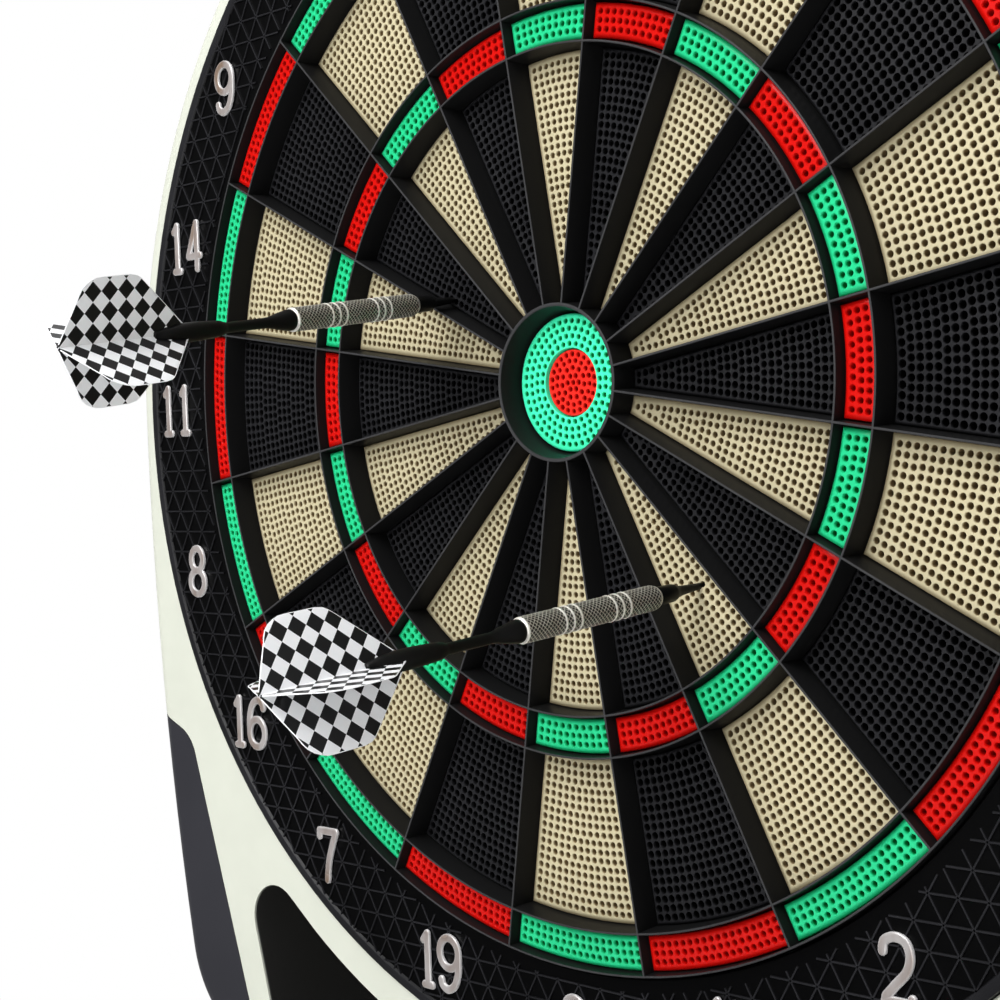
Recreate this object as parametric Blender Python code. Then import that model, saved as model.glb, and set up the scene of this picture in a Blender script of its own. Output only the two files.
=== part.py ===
"""Electronic dartboard with two soft-tip darts, as separate parts.

Frame: the origin lies on the wall plane behind the bull, +Z is up and the target faces -Y, so a height h
above the wall is at Y = -h. Sizes below are in millimetres and are turned into metres as the meshes are made.
"""
import math

import bmesh
import bpy
from mathutils import Vector
from mathutils.geometry import delaunay_2d_cdt

MM = 0.001
GAP = 0.3  # clearance between neighbouring parts

# Target: wire centre lines and depths
BULL_INNER_R = 9.9
BULL_OUTER_R = 20.4
CUP_R = (20.8, 22.5)
TRIPLE_R = (97.4, 109.45)
DOUBLE_R = (159.5, 171.5)
WALL = 1.2
NUMBERS = (20, 1, 18, 4, 13, 6, 10, 15, 2, 17, 3, 19, 7, 16, 8, 11, 14, 9, 12, 5)
SECTOR = 360 / len(NUMBERS)
STEP = SECTOR / 2  # every circle of the target is split at this angle
SPIDER_H = (12.5, 34.0)
FACE_H = 26.5
RING_FACE_H = 31.1
OUTER_BULL_H = 27.0
INNER_BULL_H = 26.0
SEGMENT_BACK_H = 7.6
RING_PAD_H = 14.5
RING_WEB_H = (11.0, 12.2)
CARRIER_H = (7.9, 9.1)
CARRIER_WIDTH = 8.0
MEMBRANE_H = (5.2, 5.8)
FOAM_H = (2.7, 4.9)
SENSOR_R = 174.0
SENSOR_TAIL = ((-18.0, 18.0), (-196.0, -168.0))
FLANGE_WIDTH = 3.0
FLANGE_H = (12.7, 15.2)
CARRIER_LAP = 8.0
STEM_OFFSET = 0.5
JOIN_LAP = 0.4  # how far joined pieces run into each other
CATCH_H = (24.5, 31.8, 32.6)  # back, floor and rims
CATCH_RIMS = (4.2, 3.0)  # width of the inner and the outer rim
RIM_SLOPE = 0.4

# Housing outline: tangent arcs, from the top half circle down to the bottom edge
HOUSING_R = 218.0
SIDE_ARC_R = 1111.0
SIDE_ARC_ANGLE = 10.3
CORNER_R = 42.0
BOTTOM_Z = -270.0
PARTING_H = 12.0
HOUSING_H = 31.0
SHELL = 3.0
HOUSING_EDGE = ((0.0, 23.0), (2.4, 28.6), (8.0, HOUSING_H))  # inset and height of the rounded edge
CLEAR = 5.0  # reach of a cutter past the surface it opens
WALL_RELIEF = 1.0
RING_HOLE_R = 206.8
RING_WALL_R = 209.4
RING_WALL_H = 22.0

# Window and side trims
WINDOW_TOP_R = 219.0
WINDOW_TIP_ANGLE = 38.3
WINDOW_TIP_ROUND = 12.5
WINDOW_SIDE = ((156.3, -185.5), (141.4, -242.3))
WINDOW_BAND = 12.0  # housing left between the window and the bottom edge
WINDOW_H = (28.3, 30.7)
WINDOW_LEDGE = 4.0
LEDGE_H = (25.6, 28.2)
LEDGE_LAP = 3.0
TRIM_THICKNESS = 1.2
TRIM_POCKET = 1.5
TRIM_BACK_H = 16.0
TRIM_EDGE = ((224.0, -106.0), (191.8, -119.6), (163.2, -209.8), (128.0, -320.0))
TRIM_ROUND = 14.0

# Controls
BUTTON_X = (72.0, 96.0, 120.0)
BUTTON_SIZE = (13.0, 7.0)
BUTTON_H = (23.9, 32.4)
KEYPAD_H = (20.3, 21.8)
KEYPAD_BAND = 6.5
KEYPAD_END = (10.0, 5.0)
MODULE_BOX = ((-46.0, 46.0), (-246.0, -224.0), (22.6, 28.0))
BOARD_BOX = ((-62.0, 34.0), (-246.0, -192.0), (9.0, 10.6))
SPEAKER_AT = (-95.0, -214.0)
SPEAKER_R = 25.0
SPEAKER_H = (2.8, 6.0, 10.5, 15.0)  # front, rim, basket and magnet
SLOT_PITCH = 8.0
SLOT_WIDTH = 3.0
SWITCH_X = 25.0
SWITCH_TRAVEL = 4.0
KNOB_SIZE = (4.4, 3.6)
KNOB_Z = (-271.2, -262.0)
SLIDER_SIZE = (12.0, 7.0)
SLIDER_Z = (-265.0, -259.0)
JACK_X = -28.0
PORT_H = 19.0
JACK_SIDE = 10.0
JACK_BORE_R = 3.1
JACK_Z = (-268.6, -256.5)
JACK_BORE_END = -259.5
PORT_Z = (-280.0, -262.0)

# Back of the board
KEYHOLES = ((0.0, 187.0), (-165.0, -152.0), (165.0, -152.0))
KEYHOLE_HEAD_R = 5.0
KEYHOLE_SLOT = (2.6, 11.0)
BAY_BOX = ((40.0, 100.0), (-239.5, -190.5), (-1.0, 18.0))
BAY_WALL = 1.5
DOOR_LAP = 2.0
DOOR_THICKNESS = 1.8
SEAT_H = 2.1
COVER_FLOOR_H = 2.4
COVER_EDGE = (3.0, 4.0)
CELL_R = 7.1
CELL_LENGTH = 50.0
CELL_PITCH = 15.2
CELL_H = 9.9
CONTACT_H = (4.0, 15.5)
CONTACT_THICKNESS = 0.8
SPRING_SIZE = (4.0, 2.5, 4.0)

# Darts: distances along the axis from the segment face, and radii
DARTS = ((17, (-48.92, 28.4), 7.1, 5.1, (77, 158, 257, 317)),
         (8, (45.5, -58.74), 5.0, -1.0, (113, 181, 293, 361)))
DART_SINK = 8.0
DART_HOLE_R = 1.5
TIP_PROFILE = ((-8.0, 0.7), (1.0, 1.0), (9.0, 1.5), (11.0, 2.2), (18.1, 2.6))
BARREL_PROFILE = ((18.4, 2.9), (20.4, 3.7), (70.2, 3.7), (70.6, 3.3))
SHAFT_PROFILE = ((70.9, 3.1), (72.4, 3.0), (80.3, 1.5), (95.8, 1.5), (98.0, 2.3), (107.0, 2.7), (112.0, 2.7),
                 (121.0, 1.5))
FLIGHT_START = 108.8
FLIGHT_OUTLINE = ((0.0, 0.8), (16.1, 15.6), (17.8, 16.6), (20.0, 17.0), (29.4, 17.0), (32.4, 16.2),
                  (35.2, 14.4), (36.4, 12.8), (42.8, 1.0))
FLIGHT_THICKNESS = 0.4
FLIGHT_CORE_R = 0.6
DART_SIDES = 12

COLOURS = {
    "ivory_plastic": ((0.79, 0.82, 0.71), 0.45, 0.0),
    "rear_plastic": ((0.03, 0.03, 0.032), 0.55, 0.0),
    "black_plastic": ((0.012, 0.012, 0.013), 0.4, 0.0),
    "segment_black": ((0.014, 0.014, 0.015), 0.4, 0.0),
    "segment_cream": ((0.62, 0.55, 0.34), 0.45, 0.0),
    "segment_red": ((0.75, 0.03, 0.02), 0.4, 0.0),
    "segment_green": ((0.05, 0.72, 0.32), 0.4, 0.0),
    "trim_grey": ((0.042, 0.042, 0.05), 0.4, 0.0),
    "window_gloss": ((0.006, 0.006, 0.006), 0.08, 0.0),
    "button_rubber": ((0.03, 0.03, 0.033), 0.6, 0.0),
    "membrane_film": ((0.55, 0.58, 0.6), 0.4, 0.0),
    "foam": ((0.2, 0.2, 0.21), 0.9, 0.0),
    "circuit_board": ((0.02, 0.16, 0.06), 0.5, 0.0),
    "display": ((0.1, 0.12, 0.1), 0.3, 0.0),
    "speaker_cone": ((0.05, 0.05, 0.05), 0.7, 0.0),
    "battery_skin": ((0.05, 0.2, 0.32), 0.35, 0.0),
    "contact_metal": ((0.7, 0.68, 0.62), 0.3, 1.0),
    "dart_plastic": ((0.01, 0.01, 0.01), 0.35, 0.0),
    "dart_barrel": ((0.55, 0.53, 0.49), 0.28, 1.0),
    "flight_film": ((0.75, 0.76, 0.78), 0.4, 0.0),
}


# ---------------------------------------------------------------- basic tools
def clear_scene():
    for obj in list(bpy.data.objects):
        bpy.data.objects.remove(obj, do_unlink=True)


def material(name):
    found = bpy.data.materials.get(name)
    if found:
        return found
    colour, roughness, metallic = COLOURS[name]
    made = bpy.data.materials.new(name)
    made.use_nodes = True
    shader = made.node_tree.nodes["Principled BSDF"]
    shader.inputs["Base Color"].default_value = (*colour, 1.0)
    shader.inputs["Roughness"].default_value = roughness
    shader.inputs["Metallic"].default_value = metallic
    made.diffuse_color = (*colour, 1.0)
    return made


def at(x, z, h):
    """World position of a point X, Z at height h above the wall."""
    return Vector((x, -h, z)) * MM


def new_object(name, bm, finish=None, smooth_angle=None):
    """Puts a bmesh in an object; with no finish it is a hidden cutter or guide."""
    mesh = bpy.data.meshes.new(name)
    bmesh.ops.remove_doubles(bm, verts=bm.verts, dist=1e-7)
    bmesh.ops.recalc_face_normals(bm, faces=bm.faces)
    bm.to_mesh(mesh)
    bm.free()
    obj = bpy.data.objects.new(name, mesh)
    bpy.context.collection.objects.link(obj)
    if finish:
        mesh.materials.append(material(finish))
    else:
        obj.hide_render = True
        obj.display_type = "WIRE"
    if smooth_angle:
        mesh.shade_smooth()
        mesh.set_sharp_from_angle(angle=math.radians(smooth_angle))
    return obj


def combine(obj, operation, *operands):
    for operand in operands:
        modifier = obj.modifiers.new(f"{operation.lower()}_{operand.name}", "BOOLEAN")
        modifier.operation = operation
        modifier.solver = "EXACT"
        modifier.object = operand
    return obj


def cut(obj, *cutters):
    return combine(obj, "DIFFERENCE", *cutters)


def join(obj, *pieces):
    return combine(obj, "UNION", *pieces)


# ---------------------------------------------------------------- outlines in the X, Z plane, anticlockwise
def arc(centre, radius, start, end, count):
    """Points from angle start to end, in degrees anticlockwise from +X, both included."""
    angles = [math.radians(start + (end - start) * i / count) for i in range(count + 1)]
    return [(centre[0] + radius * math.cos(a), centre[1] + radius * math.sin(a)) for a in angles]


def circle(radius, sides=40, centre=(0.0, 0.0)):
    return arc(centre, radius, 0, 360, sides)[:-1]


def rectangle(x_span, z_span):
    (x0, x1), (z0, z1) = x_span, z_span
    return [(x0, z0), (x1, z0), (x1, z1), (x0, z1)]


def widened(span, margin):
    return span[0] - margin, span[1] + margin


def mirrored(points):
    """The left-hand copy of a right-hand outline, still anticlockwise."""
    return [(-x, z) for x, z in reversed(points)]


def inside(point, outline):
    x, z = point
    odd = False
    for (x0, z0), (x1, z1) in zip(outline, outline[1:] + outline[:1]):
        if (z0 > z) != (z1 > z) and x < x0 + (z - z0) * (x1 - x0) / (z1 - z0):
            odd = not odd
    return odd


def crossing(p, p_dir, q, q_dir):
    """Where the line through p meets the line through q."""
    det = p_dir[0] * q_dir[1] - p_dir[1] * q_dir[0]
    t = ((q[0] - p[0]) * q_dir[1] - (q[1] - p[1]) * q_dir[0]) / det
    return p[0] + t * p_dir[0], p[1] + t * p_dir[1]


def fillet(before, corner, after, radius, count=4):
    """The arc that rounds a corner between two straight lines."""
    a = (Vector(before) - Vector(corner)).normalized()
    b = (Vector(after) - Vector(corner)).normalized()
    half = a.angle(b) / 2
    centre = Vector(corner) + (a + b).normalized() * radius / math.sin(half)
    reach = radius / math.tan(half)
    first = Vector(corner) + a * reach - centre
    last = Vector(corner) + b * reach - centre
    turn = first.angle_signed(last)
    points = []
    for i in range(count + 1):
        angle = -turn * i / count
        points.append(tuple(centre + Vector((first.x * math.cos(angle) - first.y * math.sin(angle),
                                             first.x * math.sin(angle) + first.y * math.cos(angle)))))
    return points


SIDE_CENTRE = (HOUSING_R - SIDE_ARC_R, 0.0)
CORNER_CENTRE = (SIDE_CENTRE[0] + (SIDE_ARC_R - CORNER_R) * math.cos(math.radians(SIDE_ARC_ANGLE)),
                 -(SIDE_ARC_R - CORNER_R) * math.sin(math.radians(SIDE_ARC_ANGLE)))
CORNER_RISE = CORNER_CENTRE[1] - BOTTOM_Z
BOTTOM_R = (CORNER_CENTRE[0] ** 2 + CORNER_RISE ** 2 - CORNER_R ** 2) / (2 * (CORNER_RISE - CORNER_R))
BOTTOM_CENTRE = (0.0, BOTTOM_Z + BOTTOM_R)


def housing_outline(inset=0.0):
    """The housing's outline, moved inwards by the inset."""
    turn = math.degrees(math.atan2(CORNER_CENTRE[0], BOTTOM_CENTRE[1] - CORNER_CENTRE[1]))
    right = arc(BOTTOM_CENTRE, BOTTOM_R - inset, -90, -90 + turn, 6)
    right += arc(CORNER_CENTRE, CORNER_R - inset, -90 + turn, -SIDE_ARC_ANGLE, 5)[1:]
    right += arc(SIDE_CENTRE, SIDE_ARC_R - inset, -SIDE_ARC_ANGLE, 0, 4)[1:]
    right += arc((0.0, 0.0), HOUSING_R - inset, 0, 90, 10)[1:]
    return right + mirrored(right)[1:-1]


def window_outline(inset=0.0):
    """The window follows the target's circle above and the bottom edge below."""
    (x0, z0), (x1, z1) = WINDOW_SIDE
    side_dir = Vector((x1 - x0, z1 - z0)).normalized()
    side_at = (x0 + side_dir.y * inset, z0 - side_dir.x * inset)
    top_r = WINDOW_TOP_R + inset
    tip = math.radians(WINDOW_TIP_ANGLE)
    tip_at = (top_r * math.sin(tip), -top_r * math.cos(tip))
    tip_corner = crossing(tip_at, (math.cos(tip), math.sin(tip)), side_at, side_dir)
    bottom_r = BOTTOM_R - WINDOW_BAND - inset
    foot = math.radians(20)
    foot_at = (bottom_r * math.sin(foot), BOTTOM_CENTRE[1] - bottom_r * math.cos(foot))
    foot_corner = crossing(foot_at, (math.cos(foot), math.sin(foot)), side_at, side_dir)
    right = arc(BOTTOM_CENTRE, bottom_r, -90, -90 + 17, 5)
    right += fillet(foot_at, foot_corner, side_at, 9.0 - inset)
    right += fillet(foot_corner, tip_corner, tip_at, WINDOW_TIP_ROUND - inset, 6)
    right += reversed(arc((0.0, 0.0), top_r, -90, -90 + WINDOW_TIP_ANGLE - 4, 6))
    return right + mirrored(right)[1:-1]


def trim_outline(grow=0.0):
    """Right-hand region of a side trim, reaching past the housing's edge."""
    start, corner, end, low = TRIM_EDGE
    start, corner = (start[0], start[1] + grow), (corner[0] - grow, corner[1] + grow)
    end, low = (end[0] - grow, end[1]), (low[0] - grow, low[1])
    return [low, (260.0, low[1]), (260.0, start[1])] + [start] + fillet(start, corner, end, TRIM_ROUND, 6)


# ---------------------------------------------------------------- solids
def prism_bmesh(outer, h_span, holes=()):
    """An outline with holes, extruded between two heights above the wall."""
    loops = [list(outer)] + [list(hole) for hole in holes]
    points = [Vector(p) for loop in loops for p in loop]
    edges, start = [], 0
    for loop in loops:
        edges += [(start + i, start + (i + 1) % len(loop)) for i in range(len(loop))]
        start += len(loop)
    found, _, triangles, origins, _, _ = delaunay_2d_cdt(points, edges, [], 1, 1e-6)
    bm = bmesh.new()
    back = [bm.verts.new(at(p.x, p.y, h_span[0])) for p in found]
    front = [bm.verts.new(at(p.x, p.y, h_span[1])) for p in found]
    for tri in triangles:
        middle = sum((found[i] for i in tri), Vector((0.0, 0.0))) / 3
        if any(inside(middle, hole) for hole in loops[1:]):
            continue
        bm.faces.new([front[i] for i in tri])
        bm.faces.new([back[i] for i in reversed(tri)])
    place = {origin: i for i, sources in enumerate(origins) for origin in sources}
    for a, b in edges:
        a, b = place[a], place[b]
        bm.faces.new((back[a], back[b], front[b], front[a]))
    return bm


def prism(name, outer, h_span, finish=None, holes=()):
    return new_object(name, prism_bmesh(outer, h_span, holes), finish)


def box(name, x_span, z_span, h_span, finish=None):
    return prism(name, rectangle(x_span, z_span), h_span, finish)


def loft(name, rings, finish=None):
    """Closed solid through outlines of equal point counts, given as (outline, height)."""
    bm = bmesh.new()
    loops = [[bm.verts.new(at(x, z, h)) for x, z in outline] for outline, h in rings]
    for low, high in zip(loops, loops[1:]):
        for i in range(len(low)):
            j = (i + 1) % len(low)
            bm.faces.new((low[i], low[j], high[j], high[i]))
    bm.faces.new(reversed(loops[0]))
    bm.faces.new(loops[-1])
    return new_object(name, bm, finish)


def turned_ring(name, profile, finish, sides=40):
    """A closed (radius, height) profile turned about the target's centre."""
    bm = bmesh.new()
    rings = []
    for i in range(sides):
        angle = math.tau * i / sides
        rings.append([bm.verts.new(at(r * math.sin(angle), r * math.cos(angle), h)) for r, h in profile])
    for i in range(sides):
        here, there = rings[i], rings[(i + 1) % sides]
        for j in range(len(profile)):
            k = (j + 1) % len(profile)
            bm.faces.new((here[j], here[k], there[k], there[j]))
    return new_object(name, bm, finish)


def sector_into(bm, profile, middle, edge_gap):
    """A (radius, height) profile swept across one number, its sides parallel to the wires."""
    sections = []
    for side in (-1, 0, 1):
        section = []
        for r, h in profile:
            half = SECTOR / 2 - math.degrees(math.asin(edge_gap / r))
            angle = math.radians(middle + side * half)
            section.append(bm.verts.new(at(r * math.sin(angle), r * math.cos(angle), h)))
        sections.append(section)
    for here, there in zip(sections, sections[1:]):
        for j in range(len(profile)):
            k = (j + 1) % len(profile)
            bm.faces.new((here[j], here[k], there[k], there[j]))
    bm.faces.new(sections[0])
    bm.faces.new(reversed(sections[-1]))


def cell_outline(r_span, middle, edge_gap):
    """One opening of the segment frame, between two wires."""
    points = []
    for r, sides in ((r_span[0], (-1, 0, 1)), (r_span[1], (1, 0, -1))):
        half = SECTOR / 2 - math.degrees(math.asin(edge_gap / r))
        for side in sides:
            angle = math.radians(middle + side * half)
            points.append((r * math.sin(angle), r * math.cos(angle)))
    return points


def spun(name, profile, finish, parent, sides=DART_SIDES):
    """An (distance, radius) profile turned about the parent's Z axis, closed at both ends."""
    bm = bmesh.new()
    loops = []
    for z, r in profile:
        ring = [math.tau * i / sides for i in range(sides)]
        loops.append([bm.verts.new(Vector((r * math.cos(a), r * math.sin(a), z)) * MM) for a in ring])
    for low, high in zip(loops, loops[1:]):
        for i in range(sides):
            j = (i + 1) % sides
            bm.faces.new((low[i], low[j], high[j], high[i]))
    bm.faces.new(reversed(loops[0]))
    bm.faces.new(loops[-1])
    obj = new_object(name, bm, finish, smooth_angle=40)
    obj.parent = parent
    return obj


# ---------------------------------------------------------------- target
def make_segment_frame():
    half = WALL / 2
    bands = ((CUP_R[1] + WALL / 2, TRIPLE_R[0] - half), (TRIPLE_R[0] + half, TRIPLE_R[1] - half),
             (TRIPLE_R[1] + half, DOUBLE_R[0] - half), (DOUBLE_R[0] + half, DOUBLE_R[1] - half))
    cells = [cell_outline(band, SECTOR * i, half) for i in range(len(NUMBERS)) for band in bands]
    cells.append(circle(CUP_R[0]))
    frame = prism("segment_frame", circle(DOUBLE_R[1] + half), SPIDER_H, "black_plastic", cells)
    flange = prism("frame_flange", circle(SENSOR_R + FLANGE_WIDTH), FLANGE_H,
                   holes=[circle(DOUBLE_R[1] - 0.2)])
    return join(frame, flange)


def make_single(index):
    """Inner and outer single of one number, on one carrier that passes behind the triple."""
    number = NUMBERS[index]
    middle = SECTOR * index
    edge_gap = WALL / 2 + GAP
    finish = "segment_black" if index % 2 else "segment_cream"
    spans = ((CUP_R[1] + WALL / 2 + GAP, TRIPLE_R[0] - edge_gap),
             (TRIPLE_R[1] + edge_gap, DOUBLE_R[0] - edge_gap))
    bm = bmesh.new()
    for r0, r1 in spans:
        profile = [(r0, SEGMENT_BACK_H), (r1, SEGMENT_BACK_H), (r1, FACE_H), (r0, FACE_H)]
        sector_into(bm, profile, middle, edge_gap)
    pads = new_object(f"single_{number}", bm, finish)
    bar_r = (spans[0][1] - CARRIER_LAP, spans[1][0] + CARRIER_LAP)
    corners = []
    turn = math.radians(middle)
    for across, along in rectangle((-CARRIER_WIDTH / 2, CARRIER_WIDTH / 2), bar_r):
        corners.append((across * math.cos(turn) + along * math.sin(turn),
                        along * math.cos(turn) - across * math.sin(turn)))
    return join(pads, prism(f"carrier_{number}", corners, CARRIER_H))


def make_ring_group(name, wires, parity, finish):
    """Every second pad of a scoring ring, on a web that fills half of the band behind it."""
    edge_gap = WALL / 2 + GAP
    r0, r1 = wires[0] + edge_gap, wires[1] - edge_gap
    middle = (r0 + r1) / 2
    stem = (r0, middle - STEM_OFFSET) if parity else (middle + STEM_OFFSET, r1)
    stem_h = RING_WEB_H[0] + JOIN_LAP
    profile = [(r0, RING_PAD_H), (r0, RING_FACE_H), (r1, RING_FACE_H), (r1, RING_PAD_H),
               (stem[1], RING_PAD_H), (stem[1], stem_h), (stem[0], stem_h), (stem[0], RING_PAD_H)]
    profile = [p for i, p in enumerate(profile) if p != profile[i - 1]]
    bm = bmesh.new()
    for i in range(1 if parity else 0, len(NUMBERS), 2):
        sector_into(bm, profile, SECTOR * i, edge_gap)
    pads = new_object(name, bm, finish)
    web = prism(f"{name}_web", circle(stem[1] - JOIN_LAP), RING_WEB_H, holes=[circle(stem[0] + JOIN_LAP)])
    return join(pads, web)


def make_bulls():
    ring = [(BULL_INNER_R + GAP, SEGMENT_BACK_H), (BULL_OUTER_R, SEGMENT_BACK_H),
            (BULL_OUTER_R, OUTER_BULL_H), (BULL_INNER_R + GAP, OUTER_BULL_H)]
    turned_ring("outer_bull", ring, "segment_green")
    prism("inner_bull", circle(BULL_INNER_R), (SEGMENT_BACK_H, INNER_BULL_H), "segment_red")


def make_catch_ring():
    """The ring round the target: a shallow trough between two rims."""
    back, floor, rim = CATCH_H
    inner, outer = DOUBLE_R[1] + WALL / 2 + GAP, RING_HOLE_R - GAP
    low, high = inner + CATCH_RIMS[0], outer - CATCH_RIMS[1]
    profile = [(inner, back), (outer, back), (outer, rim), (high, rim), (high - RIM_SLOPE, floor),
               (low + RIM_SLOPE, floor), (low, rim), (inner, rim)]
    turned_ring("catch_ring", profile, "black_plastic")


def make_sensor_stack():
    sheet = prism("matrix_membrane", circle(SENSOR_R), MEMBRANE_H, "membrane_film")
    join(sheet, prism("membrane_tail", rectangle(*SENSOR_TAIL), (MEMBRANE_H[0] + 0.1, MEMBRANE_H[1] - 0.1)))
    prism("foam_pad", circle(SENSOR_R), FOAM_H, "foam")


# ---------------------------------------------------------------- housing
def housing_loft(name, shrink=0.0, finish=None, base_h=PARTING_H + GAP):
    """The front housing's outer form, optionally drawn in on every side."""
    steps = ((0.0, base_h), *HOUSING_EDGE)
    rings = [(housing_outline(inset + shrink), h - (shrink if h > base_h else 0.0)) for inset, h in steps]
    return loft(name, rings, finish)


def make_front_housing():
    housing = housing_loft("front_housing", finish="ivory_plastic")
    low, high = PARTING_H - CLEAR, HOUSING_H + CLEAR
    cavity = prism("housing_cavity", housing_outline(SHELL), (low, HOUSING_H - SHELL),
                   holes=[circle(RING_WALL_R)])
    edge_relief = prism("ring_wall_relief", circle(RING_WALL_R + WALL_RELIEF), (low, RING_WALL_H))
    bore = prism("ring_bore", circle(RING_HOLE_R), (low, high))
    cut(housing, cavity, edge_relief, bore)
    ledge = prism("window_ledge", window_outline(-LEDGE_LAP), (LEDGE_H[0], HOUSING_H - 1.0))
    join(housing, ledge)
    recess = prism("window_recess", window_outline(-GAP), (LEDGE_H[1], high))
    throat = prism("window_throat", window_outline(WINDOW_LEDGE), (low, HOUSING_H))
    cut(housing, recess, throat)
    for side, outline in (("right", trim_outline(GAP)), ("left", mirrored(trim_outline(GAP)))):
        pocket = prism(f"trim_pocket_{side}", outline, (TRIM_BACK_H - GAP, high))
        cut(pocket, housing_loft(f"trim_floor_{side}", TRIM_POCKET, base_h=TRIM_BACK_H - SHELL))
        cut(housing, pocket)
    port = JACK_SIDE / 2 + GAP
    knob, knob_h = KNOB_SIZE[0] / 2 + GAP, KNOB_SIZE[1] / 2 + GAP
    ports = [box("jack_port", (JACK_X - port, JACK_X + port), PORT_Z, (PORT_H - port, PORT_H + port)),
             box("switch_slot", (SWITCH_X - knob, SWITCH_X + knob + SWITCH_TRAVEL), PORT_Z,
                 (PORT_H - knob_h, PORT_H + knob_h))]
    cut(housing, *ports)


def make_side_trims():
    for side, outline in (("right", trim_outline()), ("left", mirrored(trim_outline()))):
        trim = housing_loft(f"side_trim_{side}", finish="trim_grey")
        combine(trim, "INTERSECT", prism(f"trim_region_{side}", outline, (TRIM_BACK_H, HOUSING_H + CLEAR)))
        cut(trim, housing_loft(f"trim_back_{side}", TRIM_THICKNESS, base_h=TRIM_BACK_H - SHELL))


def keyhole_outline(x, z):
    """Round head hole with a slot running up from it."""
    half, reach = KEYHOLE_SLOT
    start = math.degrees(math.asin(half / KEYHOLE_HEAD_R))
    head = arc((x, z), KEYHOLE_HEAD_R, 90 + start, 450 - start, 14)
    slot = arc((x, z + reach), half, 0, 180, 6)
    return head + slot


def make_rear_cover():
    cover = loft("rear_cover", [(housing_outline(COVER_EDGE[0]), 0.0), (housing_outline(), COVER_EDGE[1]),
                                (housing_outline(), PARTING_H)], "rear_plastic")
    cut(cover, prism("cover_cavity", housing_outline(SHELL), (COVER_FLOOR_H, PARTING_H + CLEAR)))
    x_span, z_span, h_span = BAY_BOX
    join(cover, box("bay_walls", widened(x_span, BAY_WALL), widened(z_span, BAY_WALL),
                    (1.0, h_span[1] + BAY_WALL)))
    cutters = [box("bay_space", x_span, z_span, h_span),
               box("door_seat", widened(x_span, DOOR_LAP), widened(z_span, DOOR_LAP), (h_span[0], SEAT_H))]
    cutters += [prism(f"keyhole_{i}", keyhole_outline(x, z), (-CLEAR, CLEAR))
                for i, (x, z) in enumerate(KEYHOLES)]
    x, z = SPEAKER_AT
    for i in range(-2, 3):
        row = z + i * SLOT_PITCH
        reach = math.sqrt((SPEAKER_R - SHELL - 1.0) ** 2 - (i * SLOT_PITCH) ** 2)
        cutters.append(box(f"speaker_slot_{i + 2}", (x - reach, x + reach),
                           (row - SLOT_WIDTH / 2, row + SLOT_WIDTH / 2), (-CLEAR, CLEAR)))
    cut(cover, *cutters)


# ---------------------------------------------------------------- controls and electronics
def button_places():
    """Centres of the six buttons, on the middle line of the window."""
    places = []
    for x in (*[-x for x in reversed(BUTTON_X)], *BUTTON_X):
        top = -math.sqrt(WINDOW_TOP_R ** 2 - x * x)
        bottom = BOTTOM_CENTRE[1] - math.sqrt((BOTTOM_R - WINDOW_BAND) ** 2 - x * x)
        places.append((x, (top + bottom) / 2))
    return places


def pill_outline(centre, grow=0.0):
    """Button outline with round ends."""
    length, width = BUTTON_SIZE
    reach, radius = (length - width) / 2, width / 2 + grow
    x, z = centre
    return arc((x + reach, z), radius, -90, 90, 6) + arc((x - reach, z), radius, 90, 270, 6)


def make_controls():
    holes = [pill_outline(place, GAP) for place in button_places()]
    prism("display_window", window_outline(), WINDOW_H, "window_gloss", holes)
    for i, place in enumerate(button_places()):
        prism(f"button_{i + 1}", pill_outline(place), BUTTON_H, "button_rubber")
    upper = [(x, z + KEYPAD_BAND) for x, z in button_places()]
    lower = [(x, z - KEYPAD_BAND) for x, z in button_places()]
    over, rise = KEYPAD_END
    right = [(lower[-1][0] + over, lower[-1][1] + rise), (upper[-1][0] + over, upper[-1][1] + rise)]
    left = [(upper[0][0] - over, upper[0][1] + rise), (lower[0][0] - over, lower[0][1] + rise)]
    prism("button_pad", lower + right + upper[::-1] + left, KEYPAD_H, "button_rubber")
    box("display_module", *MODULE_BOX, "display")
    box("main_board", *BOARD_BOX, "circuit_board")
    make_speaker()
    make_switch()
    make_jack()


def make_speaker():
    front, rim, basket_h, magnet_h = SPEAKER_H
    speaker = prism("speaker", circle(SPEAKER_R, 24, SPEAKER_AT), (front, rim), "speaker_cone")
    magnet = prism("speaker_magnet", circle(SPEAKER_R * 0.48, 24, SPEAKER_AT), (rim - 1.0, magnet_h))
    basket = loft("speaker_basket", [(circle(SPEAKER_R * 0.9, 24, SPEAKER_AT), rim - 0.5),
                                     (circle(SPEAKER_R * 0.55, 24, SPEAKER_AT), basket_h)])
    join(speaker, basket, magnet)


def centred(middle, length):
    return middle - length / 2, middle + length / 2


def make_switch():
    knob = box("power_switch", centred(SWITCH_X, KNOB_SIZE[0]), KNOB_Z, centred(PORT_H, KNOB_SIZE[1]),
               "black_plastic")
    join(knob, box("switch_slider", centred(SWITCH_X, SLIDER_SIZE[0]), SLIDER_Z,
                   centred(PORT_H, SLIDER_SIZE[1])))


def make_jack():
    jack = box("dc_jack", centred(JACK_X, JACK_SIDE), JACK_Z, centred(PORT_H, JACK_SIDE), "black_plastic")
    bm = bmesh.new()
    low = JACK_Z[0] - 2.0
    bmesh.ops.create_cone(bm, cap_ends=True, segments=16, radius1=JACK_BORE_R * MM, radius2=JACK_BORE_R * MM,
                          depth=(JACK_BORE_END - low) * MM)
    bmesh.ops.translate(bm, verts=bm.verts, vec=at(JACK_X, (JACK_BORE_END + low) / 2, PORT_H))
    cut(jack, new_object("jack_bore", bm))


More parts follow.
